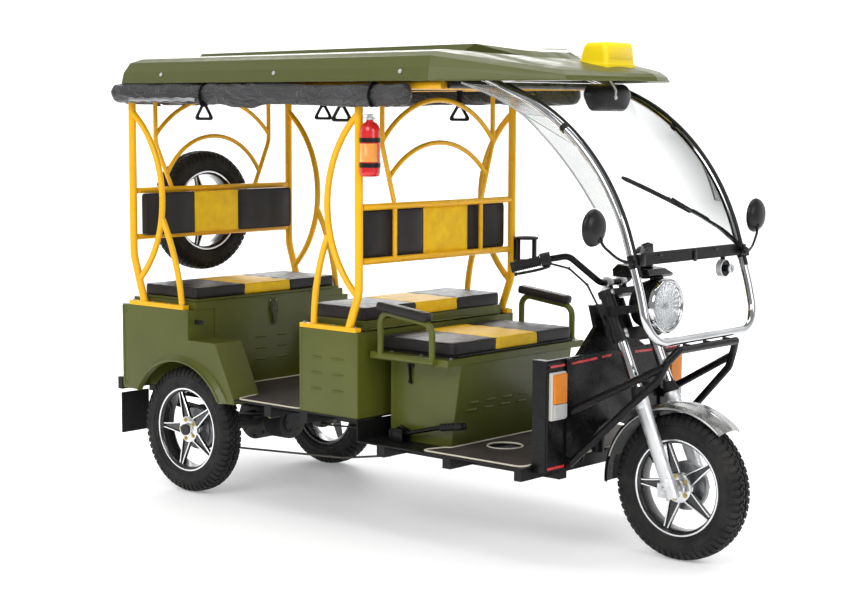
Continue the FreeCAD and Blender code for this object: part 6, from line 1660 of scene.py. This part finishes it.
first = None
for sg, tag in ((-1, "right"), (1, "left")):
    pts = []
    for k in range(48):
        t = 2 * math.pi * k / 48
        pts.append((0.0555 * math.cos(t) * (1 + 0.06 * math.sin(t)), 0.0600 * math.sin(t) * (1 + 0.05 * math.sin(t))))
    o = shell_of(pts, 0.026, (1.0765, sg * 0.4815, 1.1425), (-1, -0.02 * sg, 0.04), dark_plastic, "side_mirror_" + tag, "side_mirror_glass_" + tag)
    first = first or o
    st = Soup()
    run = round_path([(1.138, sg * 0.334, 1.026), (1.120, sg * 0.398, 1.040), (1.102, sg * 0.458, 1.086), (1.094, sg * 0.470, 1.112)], 0.04, 8)
    st.add(*sweep(run, 0.0046, 10, taper=[1.15] * 3 + [1.0] * (len(run) - 3)))
    st.add(*lathe([(0.0, -0.010), (0.0092, -0.009), (0.0105, -0.003), (0.0105, 0.008), (0.0075, 0.011), (0, 0.0115)], Vector((1.0935, sg * 0.4700, 1.110)), Vector((0.5, 0, -1)), 20))
    st.add(*lathe([(0.0, -0.012), (0.0085, -0.012), (0.0085, 0.012), (0.0, 0.012)], Vector((1.1345, sg * 0.338, 1.0260)), Vector((0, 0, 1)), 20))
    st.object("side_mirror_stalk_" + tag, black, "chassis", "black_metal", angle=40)
# inside mirror: six-sided with rounded corners, hung from the roof on a pale stalk
hexa = loop_path([(-0.143, 0.012, 0), (-0.108, 0.046, 0), (0.108, 0.046, 0), (0.143, 0.012, 0), (0.106, -0.047, 0), (-0.106, -0.047, 0)], 0.026, 5)
inner = shell_of([(p.x, p.y) for p in hexa], 0.020, (0.778, 0.0, 1.5560), (-1, 0, -0.06), dark_plastic, "inside_mirror", "inside_mirror_glass")
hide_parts("mirrors")
s = Soup()
s.add(*sweep(round_path([(0.794, 0.020, 1.556), (0.800, 0.020, 1.580), (0.782, 0.012, 1.608), (0.770, 0.010, 1.640)], 0.015, 6), 0.0042, 10))
s.add(*lathe([(0, -0.004), (0.0085, -0.003), (0.0095, 0.002), (0.006, 0.006), (0, 0.0065)], Vector((0.7955, 0.020, 1.556)), (1, 0, 0), 20))
s.object("inside_mirror_stalk", plastic("stalk_pale", (0.62, 0.62, 0.60), 0.35, 900, 0.05, 0.05), "chassis", "black_plastic")

# ------------------------------------------------------------------ extinguisher, bottle holder, handles
E = Vector((0.068, -0.432, 1.277))
prof = [(0.0, 0.0), (0.026, 0.0), (0.0325, 0.003), (0.0358, 0.010), (0.0360, 0.020), (0.0360, 0.156), (0.0350, 0.166), (0.0310, 0.178), (0.0235, 0.187), (0.0165, 0.191), (0.0128, 0.194), (0.0128, 0.200), (0.0, 0.200)]
o = clean(make("extinguisher_bottle", *lathe(prof, E, (0, 0, 1), 48), red, "chassis", "red_paint", angle=40))
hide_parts("extinguisher")
s = Soup()
s.add(*lathe([(0.0, 0.199), (0.0140, 0.199), (0.0140, 0.208), (0.0100, 0.210), (0.0100, 0.217), (0.0, 0.217)], E, (0, 0, 1), 24))
s.add(*slab((E.x - 0.0065, E.y - 0.034, E.z + 0.2165), (E.x + 0.0065, E.y + 0.012, E.z + 0.2195), 0.001))
s.add(*slab((E.x - 0.0060, E.y - 0.030, E.z + 0.2065), (E.x + 0.0060, E.y - 0.004, E.z + 0.2090), 0.001))
s.add(*lathe([(0, 0), (0.0035, 0), (0.0035, 0.016), (0.0022, 0.018), (0, 0.018)], E + Vector((0, 0.008, 0.2035)), (0, 1, 0), 14))
s.object("extinguisher_valve", silver, "chassis", "fork_silver", angle=30)
s = Soup()
for z in (0.040, 0.128):
    s.add(*lathe([(0.0361, -0.008), (0.0378, -0.008), (0.0378, 0.008), (0.0361, 0.008)], E + Vector((0, 0, z)), (0, 0, 1), 40, True))
    s.add(*slab((E.x - 0.050, E.y - 0.006, E.z + z - 0.008), (E.x - 0.0365, E.y + 0.006, E.z + z + 0.008), 0.001))
s.object("extinguisher_straps", dark_plastic, "chassis", "black_plastic", angle=40)
lab = Soup()
v, f = [], []
for z in (0.052, 0.116):
    for k in range(19):
        t = math.radians(-150 + 150 * k / 18)
        v.append(E + Vector((0.0364 * math.cos(t), 0.0364 * math.sin(t), z)))
for k in range(18):
    f.append((k, k + 1, 19 + k + 1, 19 + k))
lab = plastic("extinguisher_blank_label", (0.80, 0.36, 0.10), 0.4, 900, 0.03, 0.12)
lab.colour(lab.mix(lab.ramp(lab.noise(34, 3.0, vec=lab.coord((1, 1, 0.35))), (0.42, 0.0), (0.60, 1.0)), (0.78, 0.30, 0.06), (0.82, 0.62, 0.30)))
make("extinguisher_label", v, f, lab, "chassis", "red_paint")
s = Soup()
s.add(*lathe([(0.0278, -0.004), (0.0302, -0.003), (0.0302, 0.018), (0.0278, 0.019)], Vector((1.128, 0.186, 0.980)), (1, 0, 0), 40, True))
s.add(*lathe([(0.0082, 0.0), (0.0145, 0.001), (0.0150, 0.006), (0.0122, 0.010)], Vector((1.1640, 0.186, 0.980)), (1, 0, 0), 28, True))
s.object("horn_rings", silver, "chassis", "fork_silver")

s = Soup()
for z in (1.0165, 0.9265):
    s.add(*lathe([(0.0432, -0.0042), (0.0470, -0.0042), (0.0470, 0.0042), (0.0432, 0.0042)], Vector((0.088, 0.432, z)), (0, 0, 1), 48, True))
s.object("bottle_holder_beads", dark_plastic, "chassis", "black_plastic")
# moulded triangular handles on straps
s, tie = Soup(), Soup()
for sg in (-1, 1):
    for x in (-0.920, -0.170):
        tri = loop_path([(x - 0.0485, sg * 0.330, 1.4725), (x + 0.0485, sg * 0.330, 1.4725), (x + 0.010, sg * 0.330, 1.5240), (x - 0.010, sg * 0.330, 1.5240)], 0.012, 5)
        s.add(*sweep(tri, 0.0056, 10, True))
        tie.add(*sweep(round_path([(x, sg * 0.330, 1.5985), (x, sg * 0.330, 1.5300), (x, sg * 0.330, 1.5235)], 0.004), 0.0018, shape=[(-1, -8), (1, -8), (1, 8), (-1, 8)]))
        tie.add(*lathe([(0.0082, -0.010), (0.0102, -0.010), (0.0102, 0.010), (0.0082, 0.010)], Vector((x, sg * 0.330, 1.590)), (1, 0, 0), 20, True))
s.object("strap_handles", rubber, "chassis", "black_rubber")
tie.object("strap_webbing", dark_plastic, "chassis", "black_plastic", angle=40)

# ------------------------------------------------------------------ parking brake, running gear
s = Soup()
s.add(*lathe([(0, -0.002), (0.0128, 0.0), (0.0145, 0.006), (0.0128, 0.014), (0.0140, 0.022), (0.0128, 0.030), (0.0140, 0.038), (0.0128, 0.046), (0.0140, 0.056), (0.0128, 0.066), (0.0140, 0.076), (0.0142, 0.090), (0.0125, 0.103), (0.007, 0.108), (0, 0.109)],
             Vector((0.334, -0.350, 0.4030)), Vector((0.104, 0, 0.0165)), 28))
s.object("brake_lever_grip", rubber, "chassis", "black_rubber", angle=40)
s = Soup()
s.add(*slab((0.108, -0.3335, 0.3295), (0.168, -0.3295, 0.3785), 0.003))
s.add(*slab((0.108, -0.3725, 0.3295), (0.168, -0.3685, 0.3785), 0.003))
for q in range(7):
    t = math.radians(20 + 11 * q)
    s.add(*slab((0.128 + 0.052 * math.cos(t) - 0.003, -0.3372, 0.333 + 0.052 * math.sin(t) - 0.003), (0.128 + 0.052 * math.cos(t) + 0.003, -0.3335, 0.333 + 0.052 * math.sin(t) + 0.003), 0.0008))
s.object("brake_lever_quadrant", frame_black, "chassis", "black_metal", angle=30)
spots = []
for sg in (-1, 1):
    for dx in (-0.026, 0.026):
        for dy in (-0.036, 0.036):
            spots.append(((-0.94 + dx, sg * 0.265 + dy, 0.2180), (0, 0, -1)))
    for k in (-1, 1):
        spots.append(((-0.94 + k * 0.340, sg * 0.2905, 0.330), (0, sg, 0)))
ub = Soup()
for sg in (-1, 1):
    for dx in (-0.026, 0.026):
        ub.add(*sweep(round_path([(-0.94 + dx, sg * 0.265 - 0.036, 0.214), (-0.94 + dx, sg * 0.265 - 0.036, 0.322), (-0.94 + dx, sg * 0.265 + 0.036, 0.322), (-0.94 + dx, sg * 0.265 + 0.036, 0.214)], 0.010, 5), 0.0052, 10))
    ub.add(*slab((-0.978, sg * 0.265 - 0.044, 0.2135), (-0.902, sg * 0.265 + 0.044, 0.2185), 0.0015))
ub.object("spring_u_bolts", zinc, "chassis", "cast", angle=40)
bolts("spring_bolts", spots, "chassis", zinc, 0.0075, 0.006)
s = Soup()
for k in range(8):
    t = 2 * math.pi * k / 8
    b = bolt(Vector((-0.94 + 0.074 * math.cos(t), 0.0600, 0.25 + 0.074 * math.sin(t))), (0, 1, 0), 0.0055, 0.0045)
    s.add(b.v, b.f)
    b = bolt(Vector((-0.94 + 0.074 * math.cos(t), -0.0600, 0.25 + 0.074 * math.sin(t))), (0, -1, 0), 0.0055, 0.0045)
    s.add(b.v, b.f)
for k in range(6):
    t = 2 * math.pi * k / 6
    b = bolt(Vector((-0.7610, 0.040 * math.cos(t), 0.25 + 0.040 * math.sin(t))), (1, 0, 0), 0.0042, 0.0040)
    s.add(b.v, b.f)
for k in range(9):
    q = [(0.0702, -0.0018), (0.0735, -0.0012), (0.0735, 0.0012), (0.0702, 0.0018)]
    s.add(*lathe(q, Vector((-0.865 + 0.010 * k, 0, 0.25)), (1, 0, 0), 40, True))
s.object("axle_motor_fins", cast, "chassis", "cast", angle=30)


# ------------------------------------------------------------------ camera, floor and light
cam_data = bpy.data.cameras.new("camera")
cam = bpy.data.objects.new("camera", cam_data)
COLL.objects.link(cam)
yaw, pitch, roll = math.radians(41.4476), math.radians(6.1229), math.radians(0.2013)
fwd = Vector((-math.sin(yaw) * math.cos(pitch), math.cos(yaw) * math.cos(pitch), -math.sin(pitch)))
right = Vector((math.cos(yaw), math.sin(yaw), 0))
up = right.cross(fwd)
r2 = right * math.cos(roll) + up * math.sin(roll)
u2 = r2.cross(fwd)
cam.matrix_world = Matrix(((r2.x, u2.x, -fwd.x, 4.4171), (r2.y, u2.y, -fwd.y, -5.0404), (r2.z, u2.z, -fwd.z, 1.5202), (0, 0, 0, 1)))
cam_data.sensor_width = 36
cam_data.lens = 75.37
cam_data.clip_end = 200
scene.camera = cam

floor_look = Look("studio_floor", (0.93, 0.93, 0.93), 0.6, 0.0, Specular_IOR_Level=0.2)
floor_look.bump(floor_look.noise(40, 2.0), 0.01, 0.001)
floor_look.colour(floor_look.mix(floor_look.noise(0.7, 2.0), (0.92, 0.92, 0.925), (0.95, 0.95, 0.95)))
# the far floor and the curved backdrop glow a little, as an evenly lit studio sweep does
near = floor_look.put("VectorMath", {0: floor_look.tc.outputs["Object"]}, out="Value", operation="LENGTH")
floor_look.b.inputs["Emission Color"].default_value = (1, 1, 1, 1)
ahead = floor_look.put("VectorMath", {0: floor_look.put("VectorMath", {0: floor_look.tc.outputs["Object"]}, operation="NORMALIZE"), 1: (-0.66, 0.75, 0.0)}, out="Value", operation="DOT_PRODUCT")
lit = floor_look.calc("MAXIMUM", floor_look.span(ahead, -0.10, 0.45), floor_look.span(near, 6.5, 4.0))
floor_look.link(floor_look.calc("MULTIPLY", floor_look.span(near, 1.0, 3.2, 0.22, 0.60), lit), floor_look.b.inputs["Emission Strength"])
floor_look.colour(floor_look.mix(lit, (0.62, 0.62, 0.63), floor_look.mix(floor_look.noise(0.7, 2.0), (0.90, 0.90, 0.905), (0.93, 0.93, 0.93))))
seg = 40
fv, ff = [], []
R_flat, R_curve = 14.0, 6.0
prof = [(0.0, 0.0), (4.0, 0.0), (9.0, 0.0), (R_flat, 0.0)] + [(R_flat + R_curve * math.sin(t), R_curve - R_curve * math.cos(t)) for t in [math.radians(12 * k) for k in range(1, 8)]] + [(R_flat + R_curve, 16.0)]
for r, h in prof[1:]:
    for k in range(seg):
        fv.append((r * math.cos(2 * math.pi * k / seg), r * math.sin(2 * math.pi * k / seg), h))
fv.append((0, 0, 0))
for k in range(seg):
    ff.append((len(fv) - 1, k, (k + 1) % seg))
for i in range(len(prof) - 2):
    for k in range(seg):
        ff.append((i * seg + k, (i + 1) * seg + k, (i + 1) * seg + (k + 1) % seg, i * seg + (k + 1) % seg))
me = bpy.data.meshes.new("floor")
me.from_pydata(fv, [], ff)
me.materials.append(floor_look.m)
me.shade_smooth()
floor = bpy.data.objects.new("floor", me)
COLL.objects.link(floor)

world = bpy.data.worlds.new("studio")
world.use_nodes = True
bg = world.node_tree.nodes["Background"]
bg.inputs[0].default_value = (1.0, 1.0, 1.0, 1)
bg.inputs[1].default_value = 0.40
scene.world = world


def softbox(name, loc, target, size, power, colour=(1, 1, 1)):
    d = bpy.data.lights.new(name, "AREA")
    d.shape, d.size, d.size_y = "RECTANGLE", size[0], size[1]
    d.energy, d.color = power, colour
    o = bpy.data.objects.new(name, d)
    COLL.objects.link(o)
    o.location = loc
    o.rotation_mode = "QUATERNION"
    o.rotation_quaternion = (Vector(target) - Vector(loc)).to_track_quat("-Z", "Y")
    return o


softbox("key", (1.5, -6.5, 5.0), (0, 0, 0.8), (4.5, 3.0), 270)
softbox("fill", (6.5, -1.0, 3.2), (0.4, 0, 0.8), (3.5, 3.0), 150)
softbox("top", (-0.5, 0.5, 6.5), (0, 0, 0.5), (5.5, 4.0), 215)
softbox("back", (-5.0, 4.5, 4.0), (0, 0, 0.8), (4.0, 3.0), 150)
scene.view_settings.view_transform = "Standard"
scene.view_settings.exposure = 0.0
